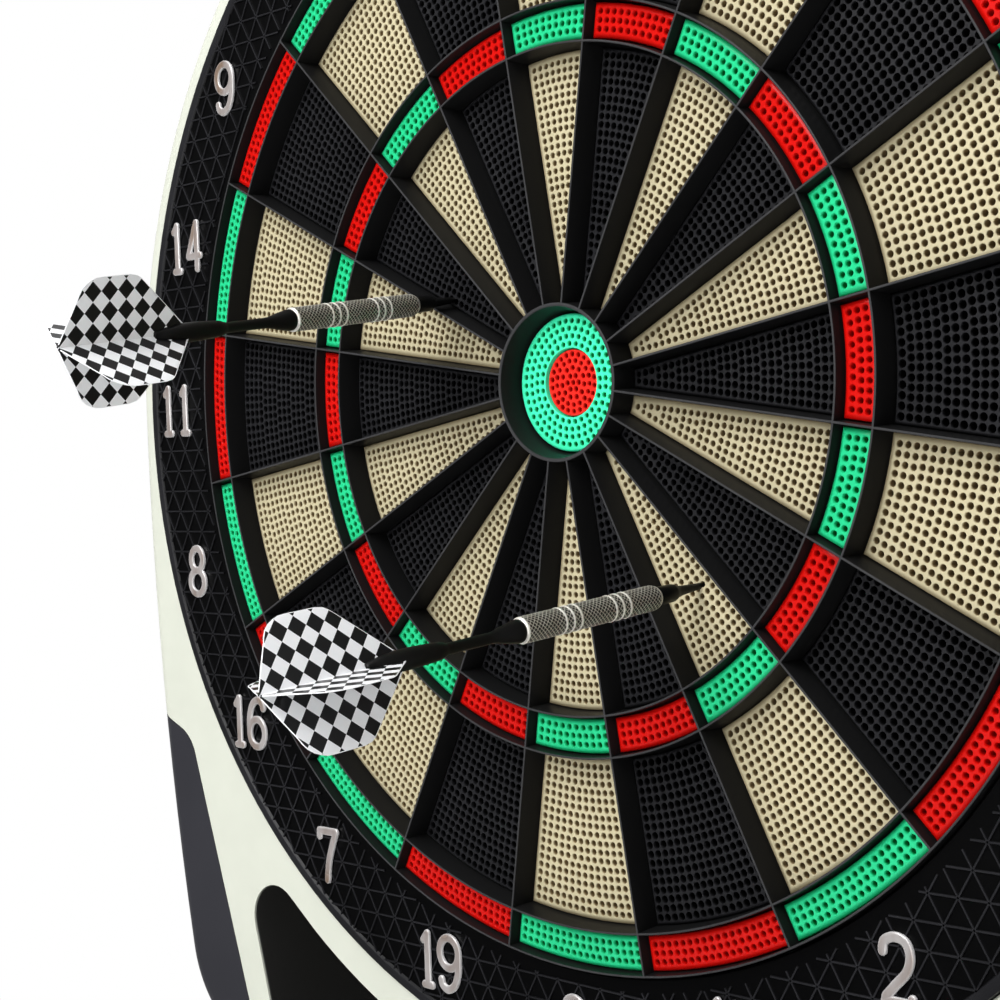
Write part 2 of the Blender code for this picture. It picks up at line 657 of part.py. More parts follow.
def make_battery_bay():
    x_span, z_span, _ = BAY_BOX
    lap = DOOR_LAP - GAP
    box("battery_door", widened(x_span, lap), widened(z_span, lap), (0.0, DOOR_THICKNESS), "rear_plastic")
    middle_x, middle_z = sum(x_span) / 2, sum(z_span) / 2
    cells = [middle_z + CELL_PITCH * i for i in (1, 0, -1)]
    for i, z in enumerate(cells):
        bm = bmesh.new()
        bmesh.ops.create_cone(bm, cap_ends=True, segments=20, radius1=CELL_R * MM, radius2=CELL_R * MM,
                              depth=CELL_LENGTH * MM)
        cell = new_object(f"battery_{i + 1}", bm, "battery_skin", smooth_angle=40)
        cell.rotation_euler = (0.0, math.radians(90), 0.0)
        cell.location = at(middle_x, z, CELL_H)
    start = x_span[0] + GAP
    plate = box("battery_contacts", (start, start + CONTACT_THICKNESS), widened(z_span, -2.0), CONTACT_H,
                "contact_metal")
    wide, narrow, length = SPRING_SIZE
    for i, z in enumerate(cells):
        bm = bmesh.new()
        bmesh.ops.create_cone(bm, cap_ends=True, segments=10, radius1=wide * MM, radius2=narrow * MM,
                              depth=length * MM)
        spring = new_object(f"contact_spring_{i + 1}", bm)
        spring.rotation_euler = (0.0, math.radians(90), 0.0)
        spring.location = at(start + length / 2 + 0.3, z, CELL_H)
        join(plate, spring)


# ---------------------------------------------------------------- darts
def dart_anchor(number, spot, droop, yaw):
    """An empty on the segment's face whose Z axis runs out along the dart."""
    a, b = math.radians(droop), math.radians(yaw)
    out = Vector((math.sin(b) * math.cos(a), -math.cos(b) * math.cos(a), -math.sin(a)))
    anchor = bpy.data.objects.new(f"dart_{number}_axis", None)
    anchor.location = at(*spot, FACE_H)
    anchor.rotation_mode = "QUATERNION"
    anchor.rotation_quaternion = out.to_track_quat("Z", "Y")
    bpy.context.collection.objects.link(anchor)
    return anchor


def turned(w, side, s, turn):
    """A point of a vane, w from the axis and s along it, for a vane turned about the dart."""
    x = w * math.cos(turn) - side * math.sin(turn)
    return Vector((x, w * math.sin(turn) + side * math.cos(turn), s)) * MM


def flight_vane(name, direction, thickness, anchor, root=0.1):
    """One vane of the flight, a thin plate from inside the core; its direction is an angle about the dart."""
    turn, half = math.radians(direction), thickness / 2
    outline = [(FLIGHT_START + s, w) for s, w in FLIGHT_OUTLINE]
    outline += [(outline[-1][0], root), (outline[0][0], root)]
    bm = bmesh.new()
    low, high = ([bm.verts.new(turned(w, side, s, turn)) for s, w in outline] for side in (-half, half))
    for i in range(len(outline)):
        j = (i + 1) % len(outline)
        bm.faces.new((low[i], low[j], high[j], high[i]))
    bm.faces.new(reversed(low))
    bm.faces.new(high)
    bmesh.ops.triangulate(bm, faces=bm.faces)
    vane = new_object(name, bm)
    vane.parent = anchor
    return vane


def make_dart(number, spot, droop, yaw, directions):
    anchor = dart_anchor(number, spot, droop, yaw)
    name = f"dart_{number}"
    spun(f"{name}_tip", TIP_PROFILE, "dart_plastic", anchor)
    spun(f"{name}_barrel", BARREL_PROFILE, "dart_barrel", anchor)
    shaft = spun(f"{name}_shaft", SHAFT_PROFILE, "dart_plastic", anchor)
    end = FLIGHT_START + FLIGHT_OUTLINE[-1][0]
    core = ((FLIGHT_START, FLIGHT_CORE_R), (end, FLIGHT_CORE_R))
    flight = spun(f"{name}_flight", core, "flight_film", anchor, 8)
    join(flight, *[flight_vane(f"{name}_vane_{i}", direction, FLIGHT_THICKNESS, anchor)
                   for i, direction in enumerate(directions)])
    slot_core = ((FLIGHT_START - GAP, FLIGHT_CORE_R + GAP), (end, FLIGHT_CORE_R + GAP))
    clear = spun(f"{name}_core_slot", slot_core, None, anchor, 8)
    slots = [flight_slot(f"{name}_slot_{i}", direction, anchor) for i, direction in enumerate(directions)]
    cut(shaft, clear, *slots)
    return anchor


def flight_slot(name, direction, anchor):
    """The room for one vane in the shaft's fork."""
    turn, half = math.radians(direction), FLIGHT_THICKNESS / 2 + GAP
    bm = bmesh.new()
    bmesh.ops.create_cube(bm, size=1.0)
    start, end = FLIGHT_START - GAP, SHAFT_PROFILE[-1][0] + CLEAR
    for vert in bm.verts:
        s = start + (vert.co.z + 0.5) * (end - start)
        vert.co = turned((vert.co.x + 0.5) * CLEAR, vert.co.y * 2 * half, s, turn)
    slot = new_object(name, bm)
    slot.parent = anchor
    return slot


def drill_segment(segment, anchor, number):
    """The hole in the segment that the dart's tip is stuck in."""
    hole = spun(f"dart_{number}_hole", ((-DART_SINK - GAP, DART_HOLE_R), (2.0, DART_HOLE_R)), None, anchor)
    cut(segment, hole)


def main():
    clear_scene()
    make_segment_frame()
    singles = [make_single(i) for i in range(len(NUMBERS))]
    for ring, wires in (("triples", TRIPLE_R), ("doubles", DOUBLE_R)):
        make_ring_group(f"{ring}_red", wires, 1, "segment_red")
        make_ring_group(f"{ring}_green", wires, 0, "segment_green")
    make_bulls()
    make_catch_ring()
    make_sensor_stack()
    make_front_housing()
    make_side_trims()
    make_rear_cover()
    make_controls()
    make_battery_bay()
    for number, (index, *stance) in enumerate(DARTS, start=1):
        drill_segment(singles[index], make_dart(number, *stance), number)


main()
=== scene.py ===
import math

import bmesh
import bpy
from mathutils import Matrix, Vector
from mathutils.geometry import delaunay_2d_cdt


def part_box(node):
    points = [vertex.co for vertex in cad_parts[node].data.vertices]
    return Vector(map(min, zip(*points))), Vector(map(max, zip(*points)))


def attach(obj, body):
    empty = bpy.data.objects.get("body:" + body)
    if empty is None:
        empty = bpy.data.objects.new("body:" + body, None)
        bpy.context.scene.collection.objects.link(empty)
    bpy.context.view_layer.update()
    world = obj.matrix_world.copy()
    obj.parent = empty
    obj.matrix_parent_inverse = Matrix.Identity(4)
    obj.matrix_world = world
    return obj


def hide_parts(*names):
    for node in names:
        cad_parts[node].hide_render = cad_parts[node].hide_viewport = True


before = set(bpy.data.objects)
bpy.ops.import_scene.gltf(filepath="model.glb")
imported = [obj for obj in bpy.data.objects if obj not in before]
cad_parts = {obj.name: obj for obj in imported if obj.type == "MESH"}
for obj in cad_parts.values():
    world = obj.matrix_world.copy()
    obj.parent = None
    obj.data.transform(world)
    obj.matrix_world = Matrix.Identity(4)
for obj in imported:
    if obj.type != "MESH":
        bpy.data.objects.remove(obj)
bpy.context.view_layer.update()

MM = 0.001


def cad_span(node, axis, grow=0.0):
    """A CAD node's lowest and highest value along an axis, in millimetres, moved apart by grow at both ends."""
    low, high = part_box(node)
    return low[axis] / MM - grow, high[axis] / MM + grow


def cad_heights(node, grow=0.0):
    """A CAD node's lowest and highest point above the wall."""
    low, high = cad_span(node, 1, grow)
    return -high, -low


# Target
NUMBERS = (20, 1, 18, 4, 13, 6, 10, 15, 2, 17, 3, 19, 7, 16, 8, 11, 14, 9, 12, 5)
SECTOR = 360 / len(NUMBERS)
CUP_R = (20.8, 22.5)
TRIPLE_R = (97.4, 109.45)
DOUBLE_R = (159.5, 171.5)
WIRE_TOP = 0.30  # half the width of a wire's flat top
WIRE_HALF = 0.85  # half its width at the segments
SEGMENT_GAP = 1.02  # from a wire's centre line to a segment
CUP_CLEARANCE = 0.3  # keeps the inner singles off the cup's wall
CUP_FLARE = 0.35  # from CUP_R out to the inner end of the wires
WIRE_ROUND = ((-0.2, 0.0), (0.0, 0.12), (0.05, 0.3))  # a wire's top edge: half width against WIRE_TOP, and drop
SPIDER_H = cad_heights("segment_frame")
SEGMENT_BACK_H, FACE_H = cad_heights("single_20")
RING_FACE_H = cad_heights("doubles_red")[1]
OUTER_BULL_H = cad_heights("outer_bull")[1]
INNER_BULL_H = cad_heights("inner_bull")[1]
BULL_OUTER_R = cad_span("outer_bull", 0)[1] - 0.05
BULL_INNER_R = cad_span("inner_bull", 0)[1]

# Housing outline: tangent arcs, from the top half circle down to the bottom edge
HOUSING_R = cad_span("front_housing", 0)[1]
SIDE_ARC_R = 1111.0
SIDE_ARC_ANGLE = 10.3
CORNER_R = 42.0
BOTTOM_Z = cad_span("front_housing", 2)[0]
PARTING_H, HOUSING_H = cad_heights("front_housing")
SHELL = 3.0
RING_HOLE_R = 206.8
RING_WALL_R = 209.4
RING_WALL_H = 22.0
WINDOW_TOP_R = 219.0
WINDOW_TIP_ANGLE = 38.3
WINDOW_TIP_ROUND = 12.5
WINDOW_SIDE = ((156.3, -185.5), (141.4, -242.3))
WINDOW_BAND = 12.0
WINDOW_H = cad_heights("display_window")
WINDOW_LEDGE = 4.0
LEDGE_LAP = 3.0  # how far the ledge under the window reaches past its edge
LEDGE_H = (25.6, 28.2)
TRIM_POCKET = 1.5
TRIM_THICKNESS = 1.2
TRIM_BACK_H = 16.0
TRIM_EDGE = ((224.0, -106.0), (191.8, -119.6), (163.2, -209.8), (128.0, -320.0))
TRIM_ROUND = 14.0
GAP = 0.3

CATCH_H = cad_heights("catch_ring")
CATCH_FLOOR_H = 31.8
NUMERAL_H = 33.1
NUMERAL_R = 189.3
RIB_SIDE = 8.5  # side of the lattice's triangles
RIB_H = 32.3
RIB_GAP = (4.0, 3.2)  # from the ring's inner and outer edges to the lattice
HOLE_WALL = 0.16  # least wall between two holes

KEYHOLES = ((0.0, 187.0), (-165.0, -152.0), (165.0, -152.0))
KEYHOLE_HEAD_R = 5.0
KEYHOLE_SLOT = (2.6, 11.0)
SPEAKER_AT = (-95.0, -214.0)


# ---------------------------------------------------------------- materials
class NodeTree:
    """A material's or the world's nodes. An input is given as a socket to link or as a plain value."""

    def __init__(self, owner):
        owner.use_nodes = True
        self.owner, self.nodes, self.links = owner, owner.node_tree.nodes, owner.node_tree.links

    def feed(self, node, inputs):
        for key, value in inputs.items():
            if isinstance(value, bpy.types.NodeSocket):
                self.links.new(value, node.inputs[key])
            else:
                node.inputs[key].default_value = value

    def add(self, kind, inputs=None, **settings):
        """A new node's outputs."""
        node = self.nodes.new(f"ShaderNode{kind}")
        for name, value in settings.items():
            setattr(node, name, value)
        self.feed(node, inputs or {})
        return node.outputs

    def noise(self, scale, detail=3.0, stretch=(1.0, 1.0, 1.0)):
        """Noise over the object's own coordinates; the scale is in cycles per metre."""
        place = self.add("Mapping", {"Vector": self.add("TexCoord")["Object"], "Scale": stretch})["Vector"]
        return self.add("TexNoise", {"Vector": place, "Scale": scale, "Detail": detail})["Fac"]

    def ramp(self, value, *stops):
        """A colour ramp from (position, colour) stops."""
        made = self.nodes.new("ShaderNodeValToRGB")
        elements = made.color_ramp.elements
        while len(elements) < len(stops):
            elements.new(0.5)
        for element, (position, colour) in zip(elements, stops):
            element.position, element.color = position, (*colour, 1.0)
        self.links.new(value, made.inputs["Fac"])
        return made.outputs["Color"]

    def spread(self, value, low, high, start=0.0):
        span = {"From Min": start, "To Min": low, "To Max": high}
        return self.add("MapRange", {"Value": value, **span})["Result"]

    def bump(self, value, depth, strength):
        return self.add("Bump", {"Height": value, "Distance": depth * MM, "Strength": strength})["Normal"]

    def mixed(self, share, a, b, blend="MIX"):
        return self.add("Mix", {"Factor": share, "A": a, "B": b}, data_type="RGBA", blend_type=blend)["Result"]

    def attribute(self, name, output="Fac"):
        return self.add("Attribute", attribute_name=name)[output]

    def deepened(self, tone, painted_light_tone):
        """The tone where a mesh's attribute "depth" is 0, and the painted shade or painted highlight colour where
        it is 1.
        """
        return self.mixed(self.attribute("depth"), tone, (*painted_light_tone, 1.0))

    def surface(self, **inputs):
        """Feeds the material's shader, whose inputs are named with _ for a space, and returns the material."""
        named = {key.replace("_", " "): value for key, value in inputs.items()}
        self.feed(self.nodes["Principled BSDF"], named)
        return self.owner


def shade(colour, factor):
    return tuple(min(1.0, c * factor) for c in colour)


def plastic(tree, colour, mottle, roughness, grain_depth=0.02, specular=0.5, painted_light_tone=None, grain=1200.0, speck=25.0):
    """Moulded plastic: faint cloudiness in the colour, uneven gloss and a fine moulded grain. Where a mesh has the
    attribute "depth", the colour turns to painted shade in holes and below the painted highlight on wire and rib
    tops."""
    cloud = tree.noise(speck)
    tone = tree.ramp(cloud, (0.3, shade(colour, 1 - mottle)), (0.7, shade(colour, 1 + mottle)))
    if painted_light_tone:
        tone = tree.deepened(tone, painted_light_tone)
    return tree.surface(Base_Color=tone, Roughness=tree.spread(cloud, *roughness), Specular_IOR_Level=specular,
                        Normal=tree.bump(tree.noise(grain, 2.0), grain_depth, 0.5))


def brushed_metal(tree, colour, roughness=(0.2, 0.35)):
    brush = tree.noise(900.0, 2.0, (1.0, 0.1, 1.0))
    return tree.surface(Base_Color=tree.ramp(brush, (0.3, shade(colour, 0.85)), (0.7, colour)),
                        Roughness=tree.spread(brush, *roughness), Metallic=1.0)


def numeral_metal(tree):
    """Bright vacuum-plated plastic; its warm streaks are a painted reflection, and its edges below the face a
    painted highlight.
    """
    painted_reflection = tree.noise(90.0, 2.0, (1.6, 1.0, 0.5))
    face = tree.ramp(painted_reflection, (0.36, (0.50, 0.47, 0.46)), (0.54, (0.38, 0.33, 0.31)), (0.68, (0.28, 0.20, 0.15)))
    # the near-white colour below the face is a painted highlight along the numerals' edges
    return tree.surface(Base_Color=tree.deepened(face, (0.86, 0.85, 0.85)),
                        Roughness=tree.spread(painted_reflection, 0.2, 0.32), Metallic=0.35)


def barrel_metal(tree):
    """Nickel-plated brass, with painted shade in the knurl's valleys and a painted highlight on its crests, rings
    and smooth ends.
    """
    stain = tree.noise(180.0, 4.0)
    # painted shade in the knurl's cells, painted highlight on its crests, rings and smooth ends
    tone = tree.ramp(tree.attribute("knurl"), (0.0, (0.006, 0.005, 0.003)), (0.45, (0.03, 0.028, 0.02)),
                     (0.75, (0.62, 0.60, 0.53)), (1.0, (1.0, 0.98, 0.92)))
    tint = tree.ramp(stain, (0.3, (0.75, 0.72, 0.62)), (0.7, (1.0, 1.0, 1.0)))
    return tree.surface(Base_Color=tree.mixed(0.6, tone, tint, "MULTIPLY"),
                        Roughness=tree.spread(stain, 0.24, 0.4), Metallic=0.45)


CHECK = 3.78  # side of a flight's squares
PRINT_MARGIN = 0.18  # width of the clear line along a vane's edge


def flight_film(tree):
    """Glossy film printed with squares that stand on their corners along the dart's axis."""
    def calc(operation, a, b):
        return tree.add("Math", {0: a, 1: b}, operation=operation)["Value"]

    along, across, edge = tree.add("SeparateXYZ", {"Vector": tree.attribute("print_place", "Vector")})
    first, second = (calc("FLOOR", calc("DIVIDE", calc(way, along, across), CHECK * math.sqrt(2)), 0)
                     for way in ("ADD", "SUBTRACT"))
    square = calc("PINGPONG", calc("ADD", first, second), 1.0)
    ink = calc("MULTIPLY", square, calc("GREATER_THAN", edge, PRINT_MARGIN))
    return tree.surface(Base_Color=tree.ramp(ink, (0.0, (0.95, 0.96, 0.98)), (1.0, (0.006, 0.006, 0.007))),
                        Normal=tree.bump(tree.noise(60.0), 0.15, 0.3), Roughness=0.28, Specular_IOR_Level=0.25)


# Each plastic's colour, the share by which it mottles, its roughness from and to, the depth of its grain, its
# specular level and its painted shade colour for holes and for the sides below the painted-highlight tops of wires
# and ribs, then the scales of its grain and of its mottling
PLASTICS = {
    "ivory_plastic": ((0.615, 0.635, 0.55), 0.02, (0.34, 0.44), 0.02, 0.5, None, 1200.0, 60.0),
    "rear_plastic": ((0.020, 0.020, 0.022), 0.15, (0.45, 0.6), 0.06, 0.5, None, 1500.0),
    "black_plastic": ((0.0040, 0.0041, 0.0043), 0.12, (0.34, 0.44), 0.006, 0.10),
    # wire and catch plastic keep their lighter colour only on wire and rib tops, a painted highlight; the last
    # colour is painted shade below
    "wire_plastic": ((0.044, 0.044, 0.046), 0.12, (0.34, 0.44), 0.006, 0.08, (0.0085, 0.0085, 0.0087)),
    "catch_plastic": ((0.016, 0.016, 0.018), 0.25, (0.26, 0.36), 0.01, 0.16, (0.0016, 0.0016, 0.0018)),
    # for segments and bulls the last colour is painted shade inside their holes and down their sloping edges
    "segment_black": ((0.0165, 0.0165, 0.0185), 0.2, (0.24, 0.34), 0.01, 0.45, (0.0012, 0.0012, 0.0012)),
    "segment_cream": ((0.55, 0.49, 0.315), 0.04, (0.38, 0.5), 0.01, 0.3, (0.24, 0.17, 0.08)),
    "segment_red": ((0.60, 0.004, 0.002), 0.04, (0.3, 0.4), 0.01, 0.2, (0.42, 0.0016, 0.0008)),
    "segment_green": ((0.018, 0.60, 0.25), 0.04, (0.3, 0.4), 0.01, 0.25, (0.0012, 0.24, 0.055)),
    "bull_red": ((0.84, 0.02, 0.012), 0.04, (0.3, 0.4), 0.01, 0.3, (0.42, 0.0024, 0.0012)),
    "bull_green": ((0.06, 0.98, 0.51), 0.04, (0.3, 0.4), 0.01, 0.3, (0.0015, 0.28, 0.065)),
    "trim_grey": ((0.030, 0.030, 0.037), 0.06, (0.42, 0.52), 0.02, 0.35),
    "window_gloss": ((0.0035, 0.0034, 0.003), 0.2, (0.05, 0.09), 0.001),
    "button_rubber": ((0.022, 0.022, 0.024), 0.1, (0.5, 0.6)),
    "dart_plastic": ((0.003, 0.003, 0.003), 0.2, (0.3, 0.45), 0.02, 0.15),
    "membrane_film": ((0.52, 0.56, 0.58), 0.04, (0.25, 0.35)),
    "foam": ((0.16, 0.16, 0.17), 0.2, (0.85, 0.95), 0.3, 0.5, None, 800.0),
    "circuit_board": ((0.02, 0.16, 0.06), 0.15, (0.35, 0.5)),
    "display": ((0.09, 0.10, 0.09), 0.05, (0.2, 0.3)),
    "speaker_cone": ((0.03, 0.03, 0.03), 0.2, (0.6, 0.75), 0.1, 0.5, None, 700.0),
    "battery_skin": ((0.03, 0.12, 0.24), 0.05, (0.22, 0.32)),
}
METALS = {"contact_metal": (0.72, 0.70, 0.64), "screw_steel": (0.55, 0.55, 0.56)}
OTHERS = {"numeral_metal": numeral_metal, "dart_barrel": barrel_metal, "flight_film": flight_film}


def make_materials():
    trees = {name: NodeTree(bpy.data.materials.new(name)) for name in (*PLASTICS, *METALS, *OTHERS)}
    made = {name: plastic(trees[name], *look) for name, look in PLASTICS.items()}
    made.update({name: brushed_metal(trees[name], colour) for name, colour in METALS.items()})
    made.update({name: finish(trees[name]) for name, finish in OTHERS.items()})
    return made


MATERIALS = make_materials()


# ---------------------------------------------------------------- outlines in the X, Z plane
def at(x, z, h):
    """World position of a point X, Z at height h above the wall."""
    return Vector((x, -h, z)) * MM


def arc(centre, radius, start, end, count):
    """Points from angle start to end, in degrees anticlockwise from +X, both included."""
    angles = [math.radians(start + (end - start) * i / count) for i in range(count + 1)]
    return [(centre[0] + radius * math.cos(a), centre[1] + radius * math.sin(a)) for a in angles]


def circle(radius, sides=40, centre=(0.0, 0.0), turn=0.0):
    return arc(centre, radius, turn, turn + 360, sides)[:-1]


def rectangle(x_span, z_span):
    (x0, x1), (z0, z1) = x_span, z_span
    return [(x0, z0), (x1, z0), (x1, z1), (x0, z1)]


def widened(span, by):
    return span[0] - by, span[1] + by


def about(middle, half):
    return middle - half, middle + half


def mirrored(points):
    return [(-x, z) for x, z in reversed(points)]


def clock(r, degrees):
    """The point at radius r and an angle clockwise from the top."""
    a = math.radians(degrees)
    return r * math.sin(a), r * math.cos(a)


def inside(point, outline):
    """Whether a point lies within an outline."""
    x, z = point
    odd = False
    for (x0, z0), (x1, z1) in zip(outline, outline[1:] + outline[:1]):
        if (z0 > z) != (z1 > z) and x < x0 + (z - z0) * (x1 - x0) / (z1 - z0):
            odd = not odd
    return odd


def crossing(p, p_dir, q, q_dir):
    """Where the line through p meets the line through q."""
    det = p_dir[0] * q_dir[1] - p_dir[1] * q_dir[0]
    t = ((q[0] - p[0]) * q_dir[1] - (q[1] - p[1]) * q_dir[0]) / det
    return p[0] + t * p_dir[0], p[1] + t * p_dir[1]


def fillet(before, corner, after, radius, count=8):
    """The arc that rounds a corner between two straight lines."""
    a = (Vector(before) - Vector(corner)).normalized()
    b = (Vector(after) - Vector(corner)).normalized()
    half = a.angle(b) / 2
    centre = Vector(corner) + (a + b).normalized() * radius / math.sin(half)
    reach = radius / math.tan(half)
    first = Vector(corner) + a * reach - centre
    turn = first.angle_signed(Vector(corner) + b * reach - centre)
    points = []
    for i in range(count + 1):
        angle = -turn * i / count
        points.append(tuple(centre + Vector((first.x * math.cos(angle) - first.y * math.sin(angle),
                                             first.x * math.sin(angle) + first.y * math.cos(angle)))))
    return points


def sector_outline(r_span, middle, gap, steps=12):
    """A target cell between two circles and two wires, drawn in by the gap on its straight sides."""
    points = []
    for r, way in ((r_span[0], 1), (r_span[1], -1)):
        half = SECTOR / 2 - math.degrees(math.asin(gap / r))
        points += [clock(r, middle + way * half * (2 * i / steps - 1)) for i in range(steps + 1)]
    return points


SIDE_CENTRE = (HOUSING_R - SIDE_ARC_R, 0.0)
CORNER_CENTRE = (SIDE_CENTRE[0] + (SIDE_ARC_R - CORNER_R) * math.cos(math.radians(SIDE_ARC_ANGLE)),
                 -(SIDE_ARC_R - CORNER_R) * math.sin(math.radians(SIDE_ARC_ANGLE)))
CORNER_RISE = CORNER_CENTRE[1] - BOTTOM_Z
BOTTOM_R = (CORNER_CENTRE[0] ** 2 + CORNER_RISE ** 2 - CORNER_R ** 2) / (2 * (CORNER_RISE - CORNER_R))
BOTTOM_CENTRE = (0.0, BOTTOM_Z + BOTTOM_R)


def housing_outline(inset=0.0):
    """The housing's outline, moved inwards by the inset."""
    turn = math.degrees(math.atan2(CORNER_CENTRE[0], BOTTOM_CENTRE[1] - CORNER_CENTRE[1]))
    right = arc(BOTTOM_CENTRE, BOTTOM_R - inset, -90, -90 + turn, 14)
    right += arc(CORNER_CENTRE, CORNER_R - inset, -90 + turn, -SIDE_ARC_ANGLE, 16)[1:]
    right += arc(SIDE_CENTRE, SIDE_ARC_R - inset, -SIDE_ARC_ANGLE, 0, 12)[1:]
    right += arc((0.0, 0.0), HOUSING_R - inset, 0, 90, 48)[1:]
    return right + mirrored(right)[1:-1]


def window_outline(inset=0.0):
    """The window follows the target's circle above and the bottom edge below."""
    (x0, z0), (x1, z1) = WINDOW_SIDE
    side_dir = Vector((x1 - x0, z1 - z0)).normalized()
    side_at = (x0 + side_dir.y * inset, z0 - side_dir.x * inset)
    top_r = WINDOW_TOP_R + inset
    tip = math.radians(WINDOW_TIP_ANGLE)
    tip_at = (top_r * math.sin(tip), -top_r * math.cos(tip))
    tip_corner = crossing(tip_at, (math.cos(tip), math.sin(tip)), side_at, side_dir)
    bottom_r = BOTTOM_R - WINDOW_BAND - inset
    foot = math.radians(20)
    foot_at = (bottom_r * math.sin(foot), BOTTOM_CENTRE[1] - bottom_r * math.cos(foot))
    foot_corner = crossing(foot_at, (math.cos(foot), math.sin(foot)), side_at, side_dir)
    right = arc(BOTTOM_CENTRE, bottom_r, -90, -90 + 17, 10)
    right += fillet(foot_at, foot_corner, side_at, 9.0 - inset)
    right += fillet(foot_corner, tip_corner, tip_at, WINDOW_TIP_ROUND - inset, 14)
    right += reversed(arc((0.0, 0.0), top_r, -90, -90 + WINDOW_TIP_ANGLE - 4, 20))
    return right + mirrored(right)[1:-1]


def trim_outline(grow=0.0):
    """Right-hand region of a side trim, reaching past the housing's edge."""
    start, corner, end, low = TRIM_EDGE
    start, corner = (start[0], start[1] + grow), (corner[0] - grow, corner[1] + grow)
    end, low = (end[0] - grow, end[1]), (low[0] - grow, low[1])
    return [low, (260.0, low[1]), (260.0, start[1])] + [start] + fillet(start, corner, end, TRIM_ROUND, 12)


# ---------------------------------------------------------------- mesh tools
class Shape:
    """Vertices and faces of one piece, in metres."""

    def __init__(self):
        self.verts, self.faces = [], []

    def loop(self, points):
        """Adds points that are already world or local vectors, and returns their numbers."""
        start = len(self.verts)
        self.verts += [tuple(p) for p in points]
        return list(range(start, len(self.verts)))

    def ring(self, outline, h):
        return self.loop([at(x, z, h) for x, z in outline])

    def bridge(self, a, b, closed=True):
        n = len(a)
        for i in range(n if closed else n - 1):
            j = (i + 1) % n
            self.faces.append((a[i], a[j], b[j], b[i]))

    def skin(self, loops):
        for a, b in zip(loops, loops[1:]):
            self.bridge(a, b)

    def stack(self, rings):
        """Joins (outline, height) rings to a wall and returns their loops."""
        loops = [self.ring(*ring) for ring in rings]
        self.skin(loops)
        return loops

    def capped(self, loops):
        self.faces += [loops[0], loops[-1]]
        return self

    def flat(self, outlines, loops):
        """Fills an outline, with the others as holes in it, using their own vertices."""
        points, edges, owner, number = [], [], [], []
        for which, (outline, loop) in enumerate(zip(outlines, loops)):
            start = len(points)
            points += [Vector(p) for p in outline]
            edges += [(start + i, start + (i + 1) % len(outline)) for i in range(len(outline))]
            owner += [which] * len(outline)
            number += loop
        triangles, origins = delaunay_2d_cdt(points, edges, [], 1, 1e-7)[2:4]
        for tri in triangles:
            a, b, c = (origins[i][0] for i in tri)
            which = owner[a]
            if which and owner[b] == which and owner[c] == which:
                middle = (points[a] + points[b] + points[c]) / 3
                if inside(middle, outlines[which]):
                    continue
            self.faces.append((number[a], number[b], number[c]))

    def merge(self, other):
        start = len(self.verts)
        self.verts += other.verts
        self.faces += [tuple(start + i for i in face) for face in other.faces]

    def mesh(self, name, angle=35.0):
        made = bpy.data.meshes.new(name)
        made.from_pydata(self.verts, [], self.faces)
        bm = bmesh.new()
        bm.from_mesh(made)
        bmesh.ops.recalc_face_normals(bm, faces=bm.faces)
        bm.to_mesh(made)
        bm.free()
        return smoothed(made, angle)


def smoothed(mesh, angle):
    """Smooth shading, apart from edges sharper than the angle."""
    mesh.shade_smooth()
    mesh.set_sharp_from_angle(angle=math.radians(angle))
    return mesh


def linked(name, data):
    """A new object in the scene."""
    obj = bpy.data.objects.new(name, data)
    bpy.context.collection.objects.link(obj)
    return obj


def piece(name, mesh, finish, body="root", replaces=(), place=None):
    """Puts a mesh in the scene as a piece that rides on a body and stands for CAD nodes."""
    obj = linked(name, mesh)
    if place:
        obj.matrix_world = place
    if not mesh.materials:
        mesh.materials.append(None)
    obj.material_slots[0].link = "OBJECT"
    obj.material_slots[0].material = MATERIALS[finish]
    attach(obj, body)
    if replaces:
        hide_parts(*replaces)


def plate(outer, pockets, through=False):
    """A solid from (outline, height) rings, front first, with pockets given the same way."""
    shape, stacks = Shape(), [outer, *pockets]
    walls = [shape.stack(rings) for rings in stacks]
    shape.flat([rings[0][0] for rings in stacks], [loops[0] for loops in walls])
    if through:
        shape.flat([rings[-1][0] for rings in stacks], [loops[-1] for loops in walls])
    else:
        shape.faces += [loops[-1] for loops in walls]
    return shape


def capped_stack(rings):
    """A solid from (outline, height) rings."""
    shape = Shape()
    return shape.capped(shape.stack(rings))


def lathe(profile, sides, place, closed=False):
    """A (radius, height) profile turned about an axis; place maps (radius, angle, height) to a vector."""
    shape = Shape()
    loops = [shape.loop([place(r, math.tau * i / sides, h) for i in range(sides)]) for r, h in profile]
    shape.skin(loops)
    if not closed:
        return shape.capped(loops)
    shape.bridge(loops[-1], loops[0])
    return shape


def board_place(centre=(0.0, 0.0)):
    """Turning about an axis square to the wall."""
    return lambda r, a, h: at(centre[0] + r * math.sin(a), centre[1] + r * math.cos(a), h)


def combined(name, base, steps, angle=35.0):
    """The mesh left by Boolean steps on a base: a shape or mesh to cut away, or (operation, shape)."""
    def hidden(label, source):
        return linked(label, source.mesh(label) if isinstance(source, Shape) else source)

    obj = hidden(name, base)
    helpers = []
    for i, step in enumerate(steps):
        operation, shape = step if isinstance(step, tuple) else ("DIFFERENCE", step)
        helpers.append(hidden(f"{name}_step_{i}", shape))
        modifier = obj.modifiers.new(f"step_{i}", "BOOLEAN")
        modifier.operation, modifier.object = operation, helpers[-1]
    bpy.context.view_layer.update()
    mesh = bpy.data.meshes.new_from_object(obj.evaluated_get(bpy.context.evaluated_depsgraph_get()))
    for used in (obj, *helpers):
        bpy.data.objects.remove(used, do_unlink=True)
    mesh.name = name
    return smoothed(mesh, angle)


